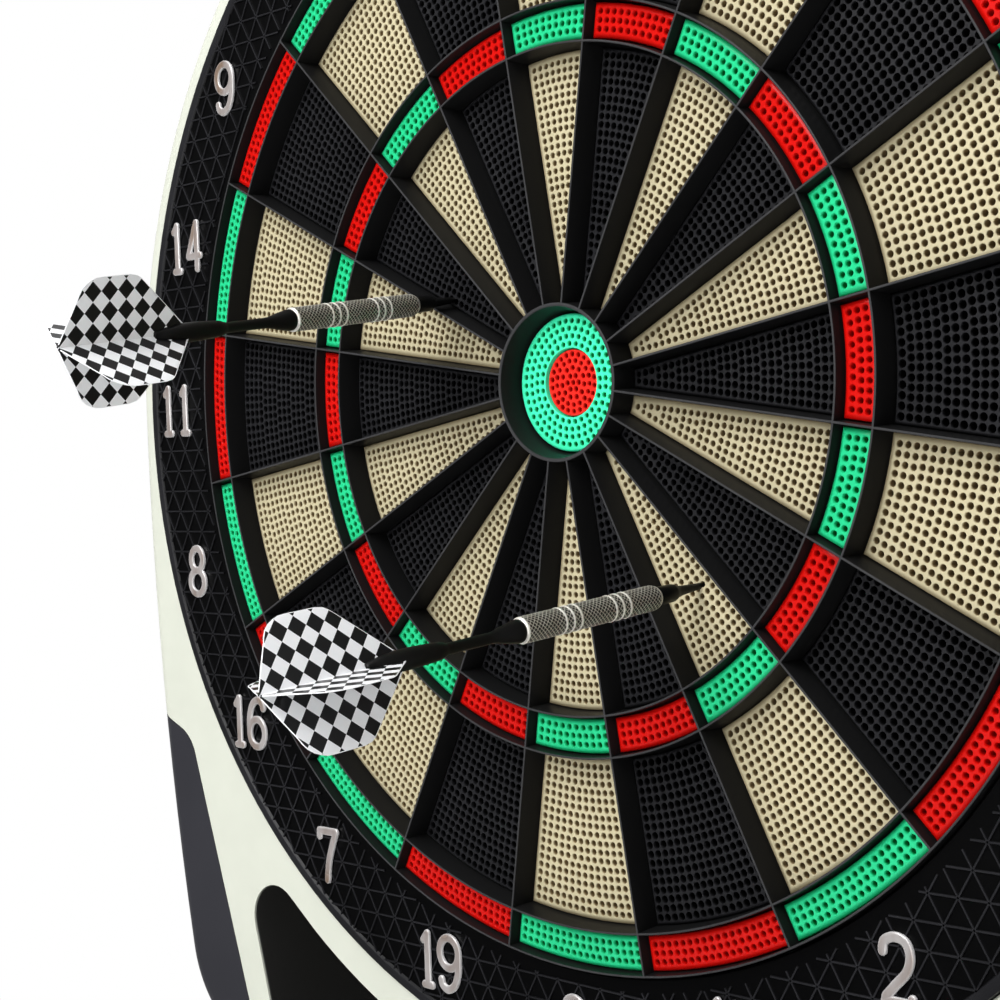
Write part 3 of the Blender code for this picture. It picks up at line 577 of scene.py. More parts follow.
# ---------------------------------------------------------------- target
HOLE_ROWS = {"inner": 29, "outer": 18, "pad": 3}
HOLE_PITCH = 2.6
INNER_SHARE = 0.92  # the inner segments' holes against the outer ones
HOLE_MARGIN = {"open": 2.6, "web": 2.1, "pad": 2.5}  # from a segment's side to its first holes
SLOPE = {"open": 1.4, "web": 0.8, "pad": 1.2}  # width of a segment's sloping edge


def holes(centres, rims, sides=10):
    """Pockets for holes: rims are (radius, height) from the face inwards, narrowed where holes stand close."""
    pockets = []
    for centre in centres:
        room = min((math.dist(centre, other) for other in centres if other is not centre), default=10.0)
        share = min(1.0, (room / 2 - HOLE_WALL / 2) / rims[0][0])
        pockets.append([(circle(r * share, sides, centre), h) for r, h in rims])
    return pockets


def rows_of_holes(r_span, rows, margin, pitch=HOLE_PITCH):
    """Hole centres on evenly spaced arcs, each arc filled from side to side."""
    low, high = r_span[0] + SEGMENT_GAP + margin, r_span[1] - SEGMENT_GAP - margin
    centres = []
    for row in range(rows):
        r = low + (high - low) * row / (rows - 1)
        half = r * math.radians(SECTOR / 2) - SEGMENT_GAP - margin
        count = round(2 * half / pitch) + 1 if half > 0 else 1
        for i in range(count):
            across = half * (2 * i / (count - 1) - 1) if count > 1 else 0.0
            centres.append(clock(r, math.degrees(across / r)))
    return centres


SEGMENT_LIFT = 6.5  # from the CAD segment's back to the back of its face
# A hole's (radius, depth) steps in each kind of segment
HOLE_STYLES = {
    "open": ((1.08, 0.0), (0.98, 0.12), (0.93, 0.7), (0.90, 6.0)),
    "web": ((1.20, 0.0), (1.04, 0.45), (0.98, 1.1), (0.90, 6.0)),
    "pad": ((1.06, 0.0), (0.80, 0.32), (0.76, 0.9), (0.68, 3.0)),
}
HOLE_SHADE_SPAN = (0.1, 0.7)  # where a hole's painted shade begins and where it is full
EDGE_HIGHLIGHT_SPAN = (0.0, 0.3)  # the same for the painted highlight on the tops of wires and ribs and along the numerals' edges


def mark_depth(mesh, face, span=HOLE_SHADE_SPAN):
    """Keeps how far each point lies under the face, from 0 to 1, as the attribute "depth" that drives painted shade
    and painted highlights.
    """
    low, high = span
    values = [min(1.0, max(0.0, (face + v.co.y / MM - low) / (high - low))) for v in mesh.vertices]
    mesh.attributes.new("depth", "FLOAT", "POINT").data.foreach_set("value", values)
    return mesh


def segment_mesh(name, r_span, style, face, edge, centres, share=1.0):
    """A scoring segment at the top of the target, its edge sloping down a little."""
    span = widened(r_span, -SEGMENT_GAP)
    outer = []
    for inset, h in ((edge, face), (0.2, face - 0.5), (0.0, face - 0.8), (0.0, SEGMENT_BACK_H + SEGMENT_LIFT)):
        outer.append((sector_outline(widened(span, -inset), 0.0, SEGMENT_GAP + inset), h))
    rims = [(r * share, face - depth) for r, depth in HOLE_STYLES[style]]
    # the depth marking gives painted shade in the holes and along the sloping edge
    return mark_depth(plate(outer, holes(centres, rims)).mesh(name, 50.0), face)


def make_segments():
    inner = (CUP_R[1] + CUP_CLEARANCE, TRIPLE_R[0])
    outer = (TRIPLE_R[1], DOUBLE_R[0])
    meshes = {}
    for style, label in (("open", "cream"), ("web", "black")):
        for place, r_span, share in (("inner", inner, INNER_SHARE), ("outer", outer, 1.0)):
            centres = rows_of_holes(r_span, HOLE_ROWS[place], HOLE_MARGIN[style], HOLE_PITCH * share)
            meshes[place, label] = segment_mesh(f"{place}_single_{label}", r_span, style, FACE_H, SLOPE[style],
                                                centres, share)
    pads = []
    for name, r_span in (("triple_pad", TRIPLE_R), ("double_pad", DOUBLE_R)):
        centres = rows_of_holes(r_span, HOLE_ROWS["pad"], HOLE_MARGIN["pad"])
        pads.append(segment_mesh(name, r_span, "pad", RING_FACE_H, SLOPE["pad"], centres))
    triple, double = pads
    for i, number in enumerate(NUMBERS):
        label, ring = (("cream", "green"), ("black", "red"))[i % 2]
        turn = Matrix.Rotation(math.radians(SECTOR * i), 4, "Y")
        triples, doubles, single = f"triples_{ring}", f"doubles_{ring}", f"single_{number}"
        piece(f"inner_{single}", meshes["inner", label], f"segment_{label}", single, [single], turn)
        piece(f"outer_{single}", meshes["outer", label], f"segment_{label}", single, [single], turn)
        piece(f"triple_{number}", triple, f"segment_{ring}", triples, [triples], turn)
        piece(f"double_{number}", double, f"segment_{ring}", doubles, [doubles], turn)


def ring_holes(radii, pitch):
    """Hole centres on circles about the bull, every second circle turned by half a hole."""
    centres = []
    for row, r in enumerate(radii):
        count = max(1, round(math.tau * r / pitch))
        centres += [clock(r, 360 * (i + row % 2 / 2) / count) for i in range(count)]
    return centres


BULL_SIDES = 72
OUTER_BULL_HOLES = ((11.5, 13.7, 15.95, 18.2), 2.48)  # radii of the circles of holes, and their pitch
INNER_BULL_HOLES = ((0.0, 2.2, 4.4, 6.5, 8.4), 2.45)
OUTER_BULL_RIMS = ((0.92, 0.0), (0.78, 0.26), (0.72, 0.9), (0.66, 2.6))
INNER_BULL_RIMS = ((0.98, 0.0), (0.80, 0.26), (0.74, 0.9), (0.68, 2.6))


def bull_holes(circles, rims, face):
    return holes(ring_holes(*circles), [(r, face - depth) for r, depth in rims])


def bull_edge(r, way, face, round_off):
    """Rings of a bull's rounded edge; way is 1 where the edge faces out and -1 where it faces the axis."""
    steps = ((way * round_off, face), (way * round_off * 0.3, face - round_off * 0.3), (0.0, face - round_off),
             (0.0, SEGMENT_BACK_H + 4))
    return [(circle(r - inset, BULL_SIDES), h) for inset, h in steps]


def make_bulls():
    shape = Shape()
    edges = [bull_edge(BULL_OUTER_R, 1, OUTER_BULL_H, 0.7),
             bull_edge(BULL_INNER_R + GAP, -1, OUTER_BULL_H, 0.25)]
    stacks = edges + bull_holes(OUTER_BULL_HOLES, OUTER_BULL_RIMS, OUTER_BULL_H)
    walls = [shape.stack(rings) for rings in stacks]
    shape.bridge(walls[0][-1], walls[1][-1])
    shape.faces += [loops[-1] for loops in walls[2:]]
    shape.flat([rings[0][0] for rings in stacks], [loops[0] for loops in walls])
    # painted shade in the outer bull's holes and down its outer side
    piece("outer_bull_face", mark_depth(shape.mesh("outer_bull_face", 50.0), OUTER_BULL_H), "bull_green",
          "outer_bull", ["outer_bull"])
    face = plate(bull_edge(BULL_INNER_R - 0.05, 1, INNER_BULL_H, 0.35),
                 bull_holes(INNER_BULL_HOLES, INNER_BULL_RIMS, INNER_BULL_H))
    # painted shade in the inner bull's holes
    piece("inner_bull_face", mark_depth(face.mesh("inner_bull_face", 50.0), INNER_BULL_H), "bull_red", "inner_bull",
          ["inner_bull"])


SPIDER_RIM = 0.6  # width of the spider outside the double ring


def make_spider():
    """The web of wires between the segments, with rounded tops and slightly sloping sides."""
    bottom, top = SPIDER_H
    rounded = [(WIRE_TOP + wider, top - drop) for wider, drop in WIRE_ROUND]
    levels = (*rounded, (WIRE_HALF, FACE_H), (WIRE_HALF, bottom))
    cup_wall = CUP_R[1] + CUP_FLARE
    pockets = []
    for i in range(len(NUMBERS)):
        for low, high in ((cup_wall, TRIPLE_R[0]), TRIPLE_R, (TRIPLE_R[1], DOUBLE_R[0]), DOUBLE_R):
            pockets.append([(sector_outline(widened((low, high), -half), SECTOR * i, half), h)
                            for half, h in levels])
    cup = ((cup_wall - WIRE_TOP, top), (cup_wall - 0.7, top - 0.12), (cup_wall - 0.8, top - 0.3),
           (CUP_R[0], FACE_H), (CUP_R[0], bottom))
    pockets.append([(circle(r, 90), h) for r, h in cup])
    rim = (*rounded, (SPIDER_RIM, FACE_H), (SPIDER_RIM, bottom))
    outer = [(circle(DOUBLE_R[1] + r, 160), h) for r, h in rim]
    # the wires keep a painted highlight on their tops and turn to painted shade below
    mesh = mark_depth(plate(outer, pockets, through=True).mesh("spider", 40.0), top, EDGE_HIGHLIGHT_SPAN)
    piece("spider", mesh, "wire_plastic", replaces=["segment_frame"])


# ---------------------------------------------------------------- catch ring and numerals
NUMERAL_BASE_H = RIB_H - 0.1
STROKE = 2.6
END_STEPS = 6  # facets of a stroke's round end
DIGIT_STRETCH = 0.86  # width against the shapes below
DIGIT_PITCH = 10.2
NUMERAL_SHIFT = 1.6  # every number sits a little left of its place on the circle


def curve(*points, steps=7):
    """A stroke along a smooth open line through the points."""
    padded = [points[0], *points, points[-1]]
    line = []
    for p0, p1, p2, p3 in zip(padded, padded[1:], padded[2:], padded[3:]):
        p0, p1, p2, p3 = (Vector(p) for p in (p0, p1, p2, p3))
        for i in range(steps):
            t = i / steps
            line.append(0.5 * (2 * p1 + (p2 - p0) * t + (2 * p0 - 5 * p1 + 4 * p2 - p3) * t * t
                               + (3 * p1 - p0 - 3 * p2 + p3) * t ** 3))
    return "line", [tuple(p) for p in line] + [points[-1]]


def straight(start, end):
    return "line", [start, end]


def oval(z, rx, rz, sides=32):
    """A closed stroke about a point of the digit's middle line."""
    turns = [math.tau * i / sides for i in range(sides)]
    return "loop", [(rx * math.cos(a), z + rz * math.sin(a)) for a in turns]


SIX = [oval(-3.5, 4.9, 4.8), curve((-4.85, -3.0), (-4.6, 2.2), (-2.6, 6.4), (0.8, 8.2), (3.6, 7.2), (4.4, 5.4))]
DIGITS = {
    "0": [oval(0.0, 4.9, 8.25, 40)],
    "1": [straight((0.3, -8.2), (0.3, 8.2)), straight((0.2, 8.0), (-1.7, 6.0)),
          straight((-1.6, -8.25), (2.2, -8.25))],
    "2": [curve((-4.7, 4.2), (-4.0, 6.9), (-0.6, 8.25), (3.2, 7.3), (4.7, 3.8), (3.4, -0.2), (-0.6, -4.0),
                (-3.9, -7.2)), straight((-4.2, -8.25), (4.3, -8.25)), straight((4.4, -8.2), (5.1, -6.9))],
    "3": [curve((-4.5, 5.6), (-2.6, 7.8), (0.6, 8.2), (3.8, 6.6), (4.1, 3.6), (2.4, 1.2), (-0.8, 0.6)),
          curve((-0.8, 0.6), (2.8, 0.0), (4.9, -2.6), (4.4, -6.2), (1.2, -8.25), (-2.6, -7.9), (-4.9, -5.6))],
    "4": [straight((2.2, -8.25), (2.2, 8.1)), straight((2.0, 8.1), (-3.7, -3.4)),
          straight((-3.7, -3.6), (4.2, -3.6))],
    "5": [straight((-3.4, 8.2), (4.2, 8.2)), straight((-3.4, 8.2), (-4.1, 0.9)),
          curve((-4.1, 0.9), (-0.6, 2.2), (3.6, 1.0), (5.0, -2.6), (3.8, -6.6), (0.2, -8.25), (-3.2, -7.6),
                (-4.9, -5.4))],
    "6": SIX,
    "7": [straight((-4.9, 8.2), (5.0, 8.2)), straight((-4.9, 8.2), (-4.9, 6.2)),
          curve((4.9, 8.1), (2.4, 3.2), (0.2, -2.4), (-0.8, -8.25))],
    "8": [oval(4.2, 4.0, 4.0), oval(-3.95, 4.8, 4.3)],
    "9": [(kind, [(-x, -z) for x, z in line]) for kind, line in SIX],
}


def stroke_shape(kind, line):
    """One stroke of a digit: flat top, rounded edges, round ends; height 0 is its foot."""
    half, tall = STROKE / 2, NUMERAL_H - NUMERAL_BASE_H
    section = [(half, 0.0), (half, tall - 0.4), (half - 0.12, tall - 0.16), (half - 0.36, tall - 0.04),
               (half - 0.7, tall)]
    full = [(-w, h) for w, h in section] + [(w, h) for w, h in reversed(section)]
    points = [Vector((x * DIGIT_STRETCH, z)) for x, z in line]
    shape = Shape()
    loops = []

    def place(p, across, w, h):
        return at(*(p + across * w), h)

    for i, p in enumerate(points):
        before = points[i - 1] if i or kind == "loop" else p
        after = points[(i + 1) % len(points)] if i < len(points) - 1 or kind == "loop" else p
        ahead = (after - before).normalized()
        across = Vector((ahead.y, -ahead.x))
        loops.append(shape.loop([place(p, across, w, h) for w, h in full]))
    shape.skin(loops)
    if kind == "loop":
        shape.bridge(loops[-1], loops[0])
        return shape
    for loop, p, q in ((loops[0], points[0], points[1]), (loops[-1], points[-1], points[-2])):
        back = (p - q).normalized()
        across = Vector((back.y, -back.x))
        fans = []
        for i in range(1, END_STEPS):
            a = math.pi * i / END_STEPS
            way = across * math.cos(a) + back * math.sin(a)
            fans.append(shape.loop([place(p, way, w, h) for w, h in section]))
        n = len(section)
        first, last = loop[:n], list(reversed(loop[n:]))
        if (Vector(shape.verts[first[0]]) - place(p, across, half, 0.0)).length > 1e-6:
            first, last = last, first
        chain = [first, *fans, last]
        for a, b in zip(chain, chain[1:]):
            shape.bridge(a, b, closed=False)
        shape.faces += [tuple(c[-1] for c in chain), tuple(c[0] for c in chain)]
    return shape


def digit_mesh(digit):
    base, *rest = [stroke_shape(kind, line) for kind, line in DIGITS[digit]]
    return combined(f"digit_{digit}", base, [("UNION", shape) for shape in rest], 45.0)


def make_numerals():
    meshes = {d: digit_mesh(d) for d in DIGITS}
    for i, number in enumerate(NUMBERS):
        digits = str(number)
        x, z = clock(NUMERAL_R, SECTOR * i)
        first = x - NUMERAL_SHIFT - DIGIT_PITCH * (len(digits) - 1) / 2
        bm = bmesh.new()
        for j, digit in enumerate(digits):
            copy = meshes[digit].copy()
            copy.transform(Matrix.Translation(at(first + DIGIT_PITCH * j, z, NUMERAL_BASE_H)))
            bm.from_mesh(copy)
        made = bpy.data.meshes.new(f"numeral_{number}")
        bm.to_mesh(made)
        bm.free()
        # painted highlight along each numeral's edges
        piece(f"numeral_{number}", mark_depth(made, NUMERAL_H, EDGE_HIGHLIGHT_SPAN), "numeral_metal")


def rib_runs(offset, low, high):
    """The stretches of a line, at an offset from the bull, that lie between two circles."""
    if abs(offset) >= high:
        return []
    far = math.sqrt(high ** 2 - offset ** 2)
    if abs(offset) >= low:
        return [(-far, far)]
    near = math.sqrt(low ** 2 - offset ** 2)
    return [(-far, -near), (near, far)]


def make_catch_ring():
    """The ring round the target: a shallow trough crossed by a lattice of thin ribs."""
    back, rim, floor = *CATCH_H, CATCH_FLOOR_H
    inner, outer = DOUBLE_R[1] + SPIDER_RIM + GAP, RING_HOLE_R - GAP
    profile = [(inner, back), (inner, rim - 1.2), (inner + 0.5, floor + 0.1), (inner + 1.2, floor),
               (outer - 3.6, floor), (outer - 3.0, rim - 0.25), (outer - 2.6, rim), (outer - 0.6, rim),
               (outer - 0.15, rim - 0.2), (outer, rim - 0.6), (outer, back)]
    shape = lathe(profile, 160, board_place(), closed=True)
    side = ((-0.42, floor - 0.2), (-0.32, RIB_H - 0.2), (-0.2, RIB_H))
    section = [*side, *((-w, h) for w, h in reversed(side))]
    row = RIB_SIDE * math.sqrt(3) / 2
    reach = math.ceil(outer / row)
    for turn in (0, 60, 120):
        along = Vector((math.cos(math.radians(turn)), math.sin(math.radians(turn))))
        across = Vector((-along.y, along.x))
        for k in range(-reach, reach + 1):
            for start, end in rib_runs(row * k, inner + RIB_GAP[0], outer - RIB_GAP[1]):
                ends = [along * t + across * row * k for t in (start, end)]
                loops = [shape.loop([at(*(p + across * w), h) for w, h in section]) for p in ends]
                shape.bridge(*loops)
                shape.faces += loops
    # painted highlight on the rib tops, painted shade on the trough's floor
    mesh = mark_depth(shape.mesh("catch_ring_lattice", 40.0), RIB_H, EDGE_HIGHLIGHT_SPAN)
    piece("catch_ring_lattice", mesh, "catch_plastic", replaces=["catch_ring"])


# ---------------------------------------------------------------- housing
EDGE_PROFILE = ((0.0, 0.0), (0.0, 23.0), (0.25, 24.6), (0.9, 26.5), (2.2, 28.4), (4.2, 30.0), (6.2, 30.75),
                (8.0, 31.0))
EDGE_CHAMFER = 0.3  # along the housing's back edge
ABOVE_H = HOUSING_H + 5  # clear of everything in front
BELOW_Z = (-280.0, -262.0)  # reaches through the bottom wall
BUTTONS = range(1, 7)
BUTTON_SIZE = (13.0, 7.0)
# A button's dished top: growth of its outline and drop from its front
CAP_PROFILE = ((0.0, 1.2), (-0.12, 0.7), (-0.45, 0.3), (-1.0, 0.1), (-1.8, 0.18), (-2.6, 0.35))
# A cell's outline, as shares of its radius and its length
BATTERY_PROFILE = ((0.01, -0.5), (0.7, -0.5), (0.93, -0.495), (1.0, -0.48), (1.0, 0.44), (0.94, 0.455),
                   (0.8, 0.46), (0.42, 0.46), (0.38, 0.465), (0.37, 0.497), (0.3, 0.5), (0.01, 0.5))
# A screw head's radii and heights, from its middle out and back
SCREW_PROFILE = ((0.01, 0.35), (1.6, 0.35), (2.5, 0.65), (2.9, 1.2), (2.9, 1.5), (0.01, 1.5))
# Six screws round the target and four along the bottom
SCREWS = [clock(201.0, a) for a in range(30, 360, 60)] + [(-130.0, -232.0), (130.0, -232.0), (-30.0, -252.0),
                                                          (20.0, -252.0)]
SPEAKER_R = 21.0
SPEAKER_PITCH = 8.0


def housing_loft(shrink=0.0, base_h=PARTING_H):
    """The front housing's outer form, optionally drawn in on every side."""
    edge_h = base_h + EDGE_CHAMFER
    rings = [(EDGE_CHAMFER, base_h), (0.0, edge_h), *EDGE_PROFILE[1:]]
    return capped_stack([(housing_outline(inset + shrink), h - (shrink if h > edge_h else 0.0))
                         for inset, h in rings])


def flat_prism(outline, h_span, hole=None):
    if hole is None:
        return capped_stack([(outline, h) for h in h_span])
    shape = Shape()
    outer, inner = (shape.stack([(side, h) for h in h_span]) for side in (outline, hole))
    for a, b in zip(outer, inner):
        shape.flat([outline, hole], [a, b])
    return shape


def box_prism(x_span, z_span, h_span):
    return flat_prism(rectangle(x_span, z_span), h_span)


FINE_SIDES = 192
SWITCH_SLOT = (2.8, 6.8)  # from the switch's middle at rest to the slot's ends
SWITCH_SLOT_HALF = 2.1


def make_housing():
    def disc(radius):
        return circle(radius, FINE_SIDES)

    low = PARTING_H - 2
    lip = [(RING_HOLE_R + r, HOUSING_H + h) for r, h in ((-1, -1.6), (2, 1.4), (-1, 1.4))]
    steps = [flat_prism(housing_outline(SHELL), (low, HOUSING_H - SHELL), disc(RING_WALL_R)),
             flat_prism(disc(RING_WALL_R + 1), (low, RING_WALL_H)),
             flat_prism(disc(RING_HOLE_R), (low, ABOVE_H)),
             lathe(lip, FINE_SIDES, board_place(), closed=True),
             ("UNION", flat_prism(window_outline(-LEDGE_LAP), (LEDGE_H[0], HOUSING_H - 1))),
             flat_prism(window_outline(-GAP), (LEDGE_H[1], ABOVE_H)),
             flat_prism(window_outline(WINDOW_LEDGE), (LEDGE_H[0] - 2, HOUSING_H))]
    for outline in (trim_outline(GAP), mirrored(trim_outline(GAP))):
        steps.append(combined("trim_pocket", flat_prism(outline, (TRIM_BACK_H - GAP, ABOVE_H)),
                              [housing_loft(TRIM_POCKET, TRIM_BACK_H - 3)]))
    port_h = cad_heights("dc_jack", GAP)
    switch_x, middle_h = sum(cad_span("power_switch", 0)) / 2, sum(port_h) / 2
    steps.append(box_prism(cad_span("dc_jack", 0, GAP), BELOW_Z, port_h))
    steps.append(box_prism((switch_x - SWITCH_SLOT[0], switch_x + SWITCH_SLOT[1]), BELOW_Z,
                           about(middle_h, SWITCH_SLOT_HALF)))
    piece("front_housing_shell", combined("front_housing_shell", housing_loft(), steps, 32.0), "ivory_plastic",
          replaces=["front_housing"])


def make_trims():
    for side, outline in (("right", trim_outline()), ("left", mirrored(trim_outline()))):
        mesh = combined(f"side_trim_{side}_cover", housing_loft(),
                        [("INTERSECT", flat_prism(outline, (TRIM_BACK_H, ABOVE_H))),
                         housing_loft(TRIM_THICKNESS, TRIM_BACK_H - 3)], 32.0)
        piece(f"side_trim_{side}_cover", mesh, "trim_grey", replaces=[f"side_trim_{side}"])


def pill_outline(centre, size, grow=0.0, count=10):
    """An outline with round ends."""
    length, width = size
    reach, radius = (length - width) / 2, width / 2 + grow
    x, z = centre
    return arc((x + reach, z), radius, -90, 90, count) + arc((x - reach, z), radius, 90, 270, count)


def button_rings(i, rings):
    """Rings round a button, from (growth, height) pairs."""
    centre = tuple(sum(cad_span(f"button_{i}", axis)) / 2 for axis in (0, 2))
    return [(pill_outline(centre, BUTTON_SIZE, grow), h) for grow, h in rings]


def make_window():
    low, high = WINDOW_H
    outer = [(window_outline(inset), h) for inset, h in ((0.45, high), (0.12, high - 0.12), (0.0, high - 0.45),
                                                         (0.0, low))]
    pockets = [button_rings(i, ((GAP + 0.35, high), (GAP, high - 0.35), (GAP, low))) for i in BUTTONS]
    pane = plate(outer, pockets, through=True).mesh("display_window_pane")
    piece("display_window_pane", pane, "window_gloss", replaces=["display_window"])
    for i in BUTTONS:
        node = f"button_{i}"
        back, front = cad_heights(node)
        rings = [(0.0, back), *((grow, front - drop) for grow, drop in CAP_PROFILE)]
        cap = capped_stack(button_rings(i, rings)).mesh(f"{node}_cap", 50.0)
        piece(f"{node}_cap", cap, "button_rubber", node, [node])


def keyhole_outline(x, z):
    """Round head hole with a slot running up from it."""
    half, reach = KEYHOLE_SLOT
    start = math.degrees(math.asin(half / KEYHOLE_HEAD_R))
    return arc((x, z), KEYHOLE_HEAD_R, 90 + start, 450 - start, 28) + arc((x, z + reach), half, 0, 180, 12)


REAR_EDGE = ((3.0, 0.0), (1.6, 0.35), (0.6, 1.3), (0.1, 2.8), (0.0, 4.0))  # inset and height
REAR_WALL_H = 2.4
BAY_FLOOR_H = 18.0
BAY_WALL = 1.5
DOOR_SEAT = (2.0, 2.1)  # width of the ledge under the door's edge, and its height
SCREW_SINK = (3.6, 1.5)  # radius and depth of a screw's recess


def make_rear_cover():
    top = PARTING_H - GAP
    rings = (*REAR_EDGE, (0.0, top - EDGE_CHAMFER), (EDGE_CHAMFER, top))
    base = capped_stack([(housing_outline(inset), h) for inset, h in rings])
    door = [cad_span("battery_door", axis, GAP) for axis in (0, 2)]
    bay = [widened(span, -DOOR_SEAT[0]) for span in door]
    steps = [flat_prism(housing_outline(SHELL), (REAR_WALL_H, PARTING_H + 2)),
             ("UNION", box_prism(*(widened(span, BAY_WALL) for span in bay), (1.0, BAY_FLOOR_H + BAY_WALL))),
             box_prism(*bay, (-1.0, BAY_FLOOR_H)), box_prism(*door, (-1.0, DOOR_SEAT[1]))]
    steps += [flat_prism(keyhole_outline(x, z), (-2.0, 6.0)) for x, z in KEYHOLES]
    x, z = SPEAKER_AT
    for rise in (SPEAKER_PITCH * i for i in range(-2, 3)):
        width = 2 * math.sqrt(SPEAKER_R ** 2 - rise ** 2)
        steps.append(flat_prism(pill_outline((x, z + rise), (width, 3.0), count=6), (-2.0, 5.0)))
    steps += [flat_prism(circle(SCREW_SINK[0], 24, place), (-1.0, SCREW_SINK[1])) for place in SCREWS]
    piece("rear_cover_shell", combined("rear_cover_shell", base, steps, 32.0), "rear_plastic",
          replaces=["rear_cover"])
    heads = Shape()
    for place in SCREWS:
        heads.merge(lathe(SCREW_PROFILE, 20, board_place(place)))
    piece("cover_screws", heads.mesh("cover_screws", 40.0), "screw_steel")


GRIPS = 5
GRIP_START = 6.0  # from the door's lower edge
GRIP_PITCH = 2.2
GRIP_SIZE = (16.0, 1.1)  # the lowest one, each next one being narrower by GRIP_TAPER
GRIP_TAPER = 2.4
GRIP_DEPTH = 0.7


def make_battery_bay():
    x_span, z_span = (cad_span("battery_door", axis) for axis in (0, 2))
    rings = [(0.0, cad_heights("battery_door")[1]), (0.0, 0.5), (0.2, 0.15), (0.6, 0.0)]
    base = capped_stack([(rectangle(widened(x_span, -i), widened(z_span, -i)), h) for i, h in rings])
    middle = sum(x_span) / 2
    grips = []
    for i in range(GRIPS):
        grip = pill_outline((middle, z_span[0] + GRIP_START + i * GRIP_PITCH),
                            (GRIP_SIZE[0] - i * GRIP_TAPER, GRIP_SIZE[1]), count=6)
        grips.append(flat_prism(grip, (-1.0, GRIP_DEPTH)))
    piece("battery_door_panel", combined("battery_door_panel", base, grips), "rear_plastic", "battery_door",
          ["battery_door"])
    for i in range(1, 4):
        low, high = (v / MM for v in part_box(f"battery_{i}"))
        centre, radius = (low + high) / 2, (high.z - low.z) / 2
        length = (high.x - low.x) * (1 if i % 2 else -1)

        def along_x(r, a, h):
            return (centre + Vector((h * length, r * radius * math.cos(a), r * radius * math.sin(a)))) * MM

        cell = lathe(BATTERY_PROFILE, 36, along_x).mesh(f"battery_cell_{i}", 40.0)
        piece(f"battery_cell_{i}", cell, "battery_skin", replaces=[f"battery_{i}"])


KNOB_HALF = (6.0, 3.5)  # the switch's plate, in X and in height
KNOB_PLATE_Z = -265.0
KNOB_RIBS = 5
KNOB_RIB_PITCH = 0.9
KNOB_RIB_HALF = (0.4, 1.8)
KNOB_RIB_STEP = 0.35  # every second rib is that much shorter


def make_ports():
    x_span, z_span, h_span = cad_span("dc_jack", 0), cad_span("dc_jack", 2), cad_heights("dc_jack")
    x, h, z = sum(x_span) / 2, sum(h_span) / 2, z_span[0]
    half = (x_span[1] - x_span[0]) / 2

    def upward(r, a, t):
        return at(x + r * math.cos(a), z + t, h + r * math.sin(a))

    body = Shape()
    corners = ((-1, -1), (1, -1), (1, 1), (-1, 1))
    loops = [body.loop([at(x + sx * (half - inset), z + rise, h + sh * (half - inset)) for sx, sh in corners])
             for inset, rise in ((0.8, 0.0), (0.2, 0.3), (0.0, 1.0), (0.0, z_span[1] - z))]
    body.skin(loops)
    bore = lathe([(3.6, -1.0), (3.1, 0.7), (3.1, 9.0)], 32, upward)
    piece("dc_jack_socket", combined("dc_jack_socket", body.capped(loops), [bore]), "black_plastic",
          replaces=["dc_jack"])
    pin = lathe([(0.3, 1.2), (0.8, 1.6), (1.0, 2.2), (1.0, 8.9)], 16, upward)
    piece("dc_jack_pin", pin.mesh("dc_jack_pin", 40.0), "contact_metal")
    x, h = sum(cad_span("power_switch", 0)) / 2, sum(cad_heights("power_switch")) / 2
    low, high = cad_span("power_switch", 2)
    knob = box_prism(about(x, KNOB_HALF[0]), (KNOB_PLATE_Z, high), about(h, KNOB_HALF[1]))
    for i in range(KNOB_RIBS):
        middle = x + (i - (KNOB_RIBS - 1) / 2) * KNOB_RIB_PITCH
        rib_z = (low + i % 2 * KNOB_RIB_STEP, KNOB_PLATE_Z + 0.1)
        knob.merge(box_prism(about(middle, KNOB_RIB_HALF[0]), rib_z, about(h, KNOB_RIB_HALF[1])))
    piece("power_switch_knob", knob.mesh("power_switch_knob"), "black_plastic", "power_switch", ["power_switch"])


# ---------------------------------------------------------------- darts
# Each dart's number, its place on the target, its droop and yaw, and the directions of its vanes
DARTS = ((1, (-48.92, 28.4), 7.1, 5.1, (77, 158, 257, 317)),
         (2, (45.5, -58.74), 5.0, -1.0, (113, 181, 293, 361)))
TIP_PROFILE = ((0.25, -8.0), (0.6, -7.6), (0.75, -4.0), (0.95, 1.0), (1.25, 6.0), (1.5, 9.0), (1.75, 10.2),
               (2.2, 11.0), (2.5, 12.0), (2.6, 17.6), (2.5, 18.1))
SHAFT_PROFILE = ((3.0, 70.9), (3.08, 71.3), (3.0, 72.4), (2.5, 75.0), (1.95, 77.8), (1.6, 79.7), (1.48, 81.0),
                 (1.48, 95.4), (1.7, 96.2), (2.2, 97.8), (2.35, 99.5), (2.62, 105.5), (2.68, 107.5), (2.65, 112.0),
                 (2.1, 117.0), (1.5, 120.6), (1.1, 121.0))
BARREL_R = 3.65
BARREL_SPAN = (18.4, 70.6)
BARREL_GRID = (380, 160)  # rows along the barrel and points round it
# Shares of the barrel's length: the smooth rings' places and half width, and the knurled stretch
BARREL_RINGS = (0.262, 0.317, 0.371, 0.625, 0.68, 0.735)
RING_HALF = 0.006
BARREL_KNURL = (0.02, 0.992)
RING_RISE = 0.12  # how far the rings' crests stand above the rest
NOSE = (0.05, 1.0)  # share of the length that is rounded off, and by how much
TAIL = (0.015, 0.25)
KNURL_STARTS = 17
KNURL_DEPTH = 0.25
FLIGHT_START = 108.8
FLIGHT_THICKNESS = 0.36
FLIGHT_ROOT = 0.12  # from the dart's axis
FLIGHT_COLUMNS = 20
EDGE_THINNING = 0.35  # a vane's thickness along its edge, as a share
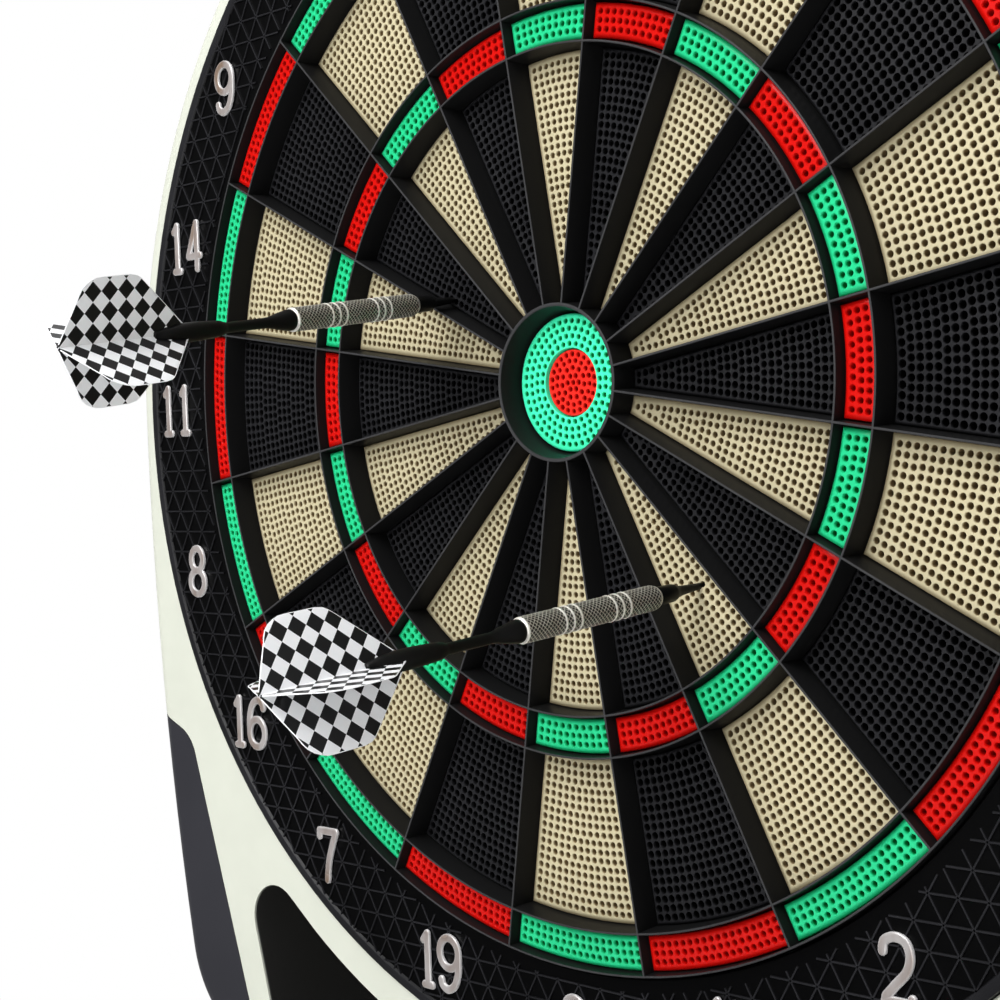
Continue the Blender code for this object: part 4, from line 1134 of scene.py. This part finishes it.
# A vane's edge: (along the dart, out from its axis)
FLIGHT_OUTLINE = ((0.0, 0.8), (8.05, 8.2), (15.6, 15.15), (16.6, 15.95), (17.8, 16.6), (20.0, 17.0), (29.0, 17.0),
                  (30.8, 16.85), (32.4, 16.3), (34.0, 15.5), (35.4, 14.3), (36.3, 13.0), (36.9, 11.6), (39.8, 6.4),
                  (42.6, 1.0))


def dart_matrix(spot, droop, yaw):
    """The frame of a dart: origin on the segment's face, Z out along the dart."""
    a, b = math.radians(droop), math.radians(yaw)
    out = Vector((math.sin(b) * math.cos(a), -math.cos(b) * math.cos(a), -math.sin(a)))
    return Matrix.Translation(at(*spot, FACE_H)) @ out.to_track_quat("Z", "Y").to_matrix().to_4x4()


def own_axis(r, a, t):
    return Vector((r * math.cos(a), r * math.sin(a), t)) * MM


def knurl_height(share, angle, z):
    """From 0 in the cells to 1 on the crossed ridges, the rings and the smooth ends."""
    start, end = BARREL_KNURL
    ring = min(abs(share - place) for place in BARREL_RINGS)
    if not start < share < end or ring < RING_HALF:
        return 1.0
    turn, climb = angle * KNURL_STARTS / math.tau, z * KNURL_STARTS / (math.tau * BARREL_R)
    a, b = (abs((turn + way * climb) % 1 - 0.5) * 2 for way in (1, -1))
    fade = min(1.0, (share - start) * 80, (end - share) * 160, (ring - RING_HALF) * 250)
    return 1 - fade * (1 - max(a, b) ** 2.4)


def barrel_radius(share):
    """The radius over the knurl's crests, at a share of the barrel's length."""
    nose, tail = max(0.0, 1 - share / NOSE[0]), max(0.0, 1 - (1 - share) / TAIL[0])
    ring = max(math.exp(-((share - place) / RING_HALF) ** 2) for place in BARREL_RINGS)
    return BARREL_R - RING_RISE * (1 - ring) - NOSE[1] * nose ** 2 - TAIL[1] * tail ** 2


def make_barrel(name):
    (start, end), (rows, sides) = BARREL_SPAN, BARREL_GRID
    shape, painted_light_heights, loops = Shape(), [], []
    for share in (row / rows for row in range(rows + 1)):
        z, radius = start + (end - start) * share, barrel_radius(share)
        angles = [math.tau * i / sides for i in range(sides)]
        heights = [knurl_height(share, angle, z) for angle in angles]
        loops.append(shape.loop([own_axis(radius - KNURL_DEPTH * (1 - height), angle, z)
                                 for angle, height in zip(angles, heights)]))
        painted_light_heights += heights
    shape.skin(loops)
    mesh = shape.capped(loops).mesh(name, 60.0)
    # the knurl heights drive the barrel's painted shade and painted highlight
    mesh.attributes.new("knurl", "FLOAT", "POINT").data.foreach_set("value", painted_light_heights)
    return mesh


def edge_distance(s, w):
    """How far a point of a vane lies from the vane's outline."""
    p, least = Vector((s, w)), 50.0
    for a, b in zip(FLIGHT_OUTLINE, FLIGHT_OUTLINE[1:]):
        a, b = Vector(a), Vector(b)
        share = max(0.0, min(1.0, (p - a).dot(b - a) / (b - a).length_squared))
        least = min(least, (p - a - (b - a) * share).length)
    return least


def make_flight(name, directions):
    """Four vanes; the print's place on each is kept as along, across and distance from the edge."""
    shape, prints = Shape(), []
    for turn in map(math.radians, directions):
        radial = Vector((math.cos(turn), math.sin(turn), 0.0))
        side = Vector((-radial.y, radial.x, 0.0))
        sheets = []
        for way in (-1, 1):
            sheet = []
            for s, w in FLIGHT_OUTLINE:
                line = []
                for c in range(FLIGHT_COLUMNS + 1):
                    across = FLIGHT_ROOT + (w - FLIGHT_ROOT) * c / FLIGHT_COLUMNS
                    thick = FLIGHT_THICKNESS / 2 * (1 if c < FLIGHT_COLUMNS else EDGE_THINNING)
                    line.append((radial * across + side * way * thick + Vector((0, 0, FLIGHT_START + s))) * MM)
                    prints += [s, across, edge_distance(s, across)]
                sheet.append(shape.loop(line))
            sheets.append(sheet)
            for a, b in zip(sheet[::way], sheet[1::way] if way > 0 else sheet[-2::way]):
                shape.bridge(a, b, closed=False)
        for end in (0, -1):
            shape.bridge(*(sheet[end] for sheet in sheets), closed=False)
            shape.bridge(*([line[end] for line in sheet] for sheet in sheets), closed=False)
    mesh = shape.mesh(name, 40.0)
    mesh.attributes.new("print_place", "FLOAT_VECTOR", "POINT").data.foreach_set("vector", prints)
    return mesh


def make_darts():
    for number, spot, droop, yaw, directions in DARTS:
        dart = f"dart_{number}"
        tip, stem, barrel, flight = (f"{dart}_{part}" for part in ("soft_tip", "stem", "barrel_knurled",
                                                                   "flight_printed"))
        for name, node, mesh, finish in (
                (tip, "tip", lathe(TIP_PROFILE, 28, own_axis).mesh(tip, 45.0), "dart_plastic"),
                (stem, "shaft", lathe(SHAFT_PROFILE, 32, own_axis).mesh(stem, 45.0), "dart_plastic"),
                (barrel, "barrel", make_barrel(barrel), "dart_barrel"),
                (flight, "flight", make_flight(flight, directions), "flight_film")):
            mesh.transform(dart_matrix(spot, droop, yaw))
            piece(name, mesh, finish, dart, [f"{dart}_{node}"])


# ---------------------------------------------------------------- kept CAD nodes, stage and camera
KEPT_NODES = {"matrix_membrane": "membrane_film", "foam_pad": "foam", "main_board": "circuit_board",
              "speaker": "speaker_cone", "display_module": "display", "button_pad": "button_rubber",
              "battery_contacts": "contact_metal"}
FLOOR_HALF = 6.0  # metres
FLOOR_DROP = 0.5
CAMERA_AT = (0.36494, -0.42224, -0.02196)
CAMERA_LOOK = (-0.707524, 0.706350, -0.021888)
CAMERA_UP = (0.008749, 0.039726, 0.999172)
CAMERA_LENS = 65.85
# Each light's place and target in metres, its width and height, and its power in watts
LIGHTS = {"key_softbox": ((0.0, -1.3, 0.95), (0.0, 0.0, -0.05), (1.0, 1.0), 24.0),
          "top_softbox": ((-0.2, -0.7, 1.4), (0.0, 0.0, 0.0), (1.6, 0.8), 12.0),
          "front_fill": ((0.3, -1.6, -0.15), (0.0, 0.0, 0.0), (0.7, 1.2), 7.0)}


def grey(level):
    return level, level, level


def make_stage():
    """A matt floor that shows white to the camera."""
    floor = bpy.data.meshes.new("floor")
    corners = rectangle((-FLOOR_HALF, FLOOR_HALF), (-FLOOR_HALF, FLOOR_HALF))
    floor.from_pydata([(x, y, (BOTTOM_Z - FLOOR_DROP) * MM) for x, y in corners], [], [(0, 1, 2, 3)])
    obj = linked("floor", floor)
    tree = NodeTree(bpy.data.materials.new("floor_paint"))
    floor.materials.append(tree.surface(Base_Color=(*grey(0.9), 1.0), Roughness=0.9))
    shaders = {1: tree.nodes["Principled BSDF"].outputs["BSDF"], 2: tree.add("Emission")["Emission"]}
    mix = tree.add("MixShader", {"Fac": tree.add("LightPath")["Is Camera Ray"], **shaders})
    tree.links.new(mix["Shader"], tree.nodes["Material Output"].inputs["Surface"])
    obj.visible_glossy = False


def make_world():
    """White surroundings behind the board and a dim room in front of it; the background itself shows white."""
    world = bpy.data.worlds.new("studio")
    bpy.context.scene.world = world
    tree = NodeTree(world)
    direction = tree.add("SeparateXYZ", {"Vector": tree.add("TexCoord")["Generated"]})
    room = tree.ramp(tree.spread(direction["Y"], 0.0, 1.0, start=-1.0), (0.0, grey(0.05)), (0.4, grey(0.07)),
                     (0.6, grey(0.7)), (1.0, grey(1.0)))
    seen = tree.mixed(tree.add("LightPath")["Is Camera Ray"], room, (1.0, 1.0, 1.0, 1.0))
    tree.feed(tree.nodes["Background"], {"Color": seen})


def make_lights():
    for name, (place, target, size, power) in LIGHTS.items():
        data = bpy.data.lights.new(name, "AREA")
        data.shape, data.size, data.size_y, data.energy = "RECTANGLE", *size, power
        obj = linked(name, data)
        obj.location = place
        obj.rotation_euler = (Vector(target) - Vector(place)).to_track_quat("-Z", "Y").to_euler()


def make_camera():
    scene = bpy.context.scene
    scene.view_settings.view_transform = "Standard"
    data = bpy.data.cameras.new("camera")
    data.lens, data.clip_start, data.clip_end = CAMERA_LENS, 0.01, 50.0
    scene.camera = linked("camera", data)
    look, up = Vector(CAMERA_LOOK).normalized(), Vector(CAMERA_UP).normalized()
    turn = Matrix((look.cross(up), up, -look)).transposed()
    scene.camera.matrix_world = Matrix.LocRotScale(Vector(CAMERA_AT), turn, None)


def finish_kept_nodes():
    for name, finish in KEPT_NODES.items():
        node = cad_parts[name]
        node.data.materials.clear()
        node.data.materials.append(MATERIALS[finish])


for make in (make_stage, make_world, make_lights, make_camera, make_segments, make_bulls, make_spider,
             make_catch_ring, make_numerals, make_housing, make_trims, make_window, make_rear_cover,
             make_battery_bay, make_ports, make_darts, finish_kept_nodes):
    make()
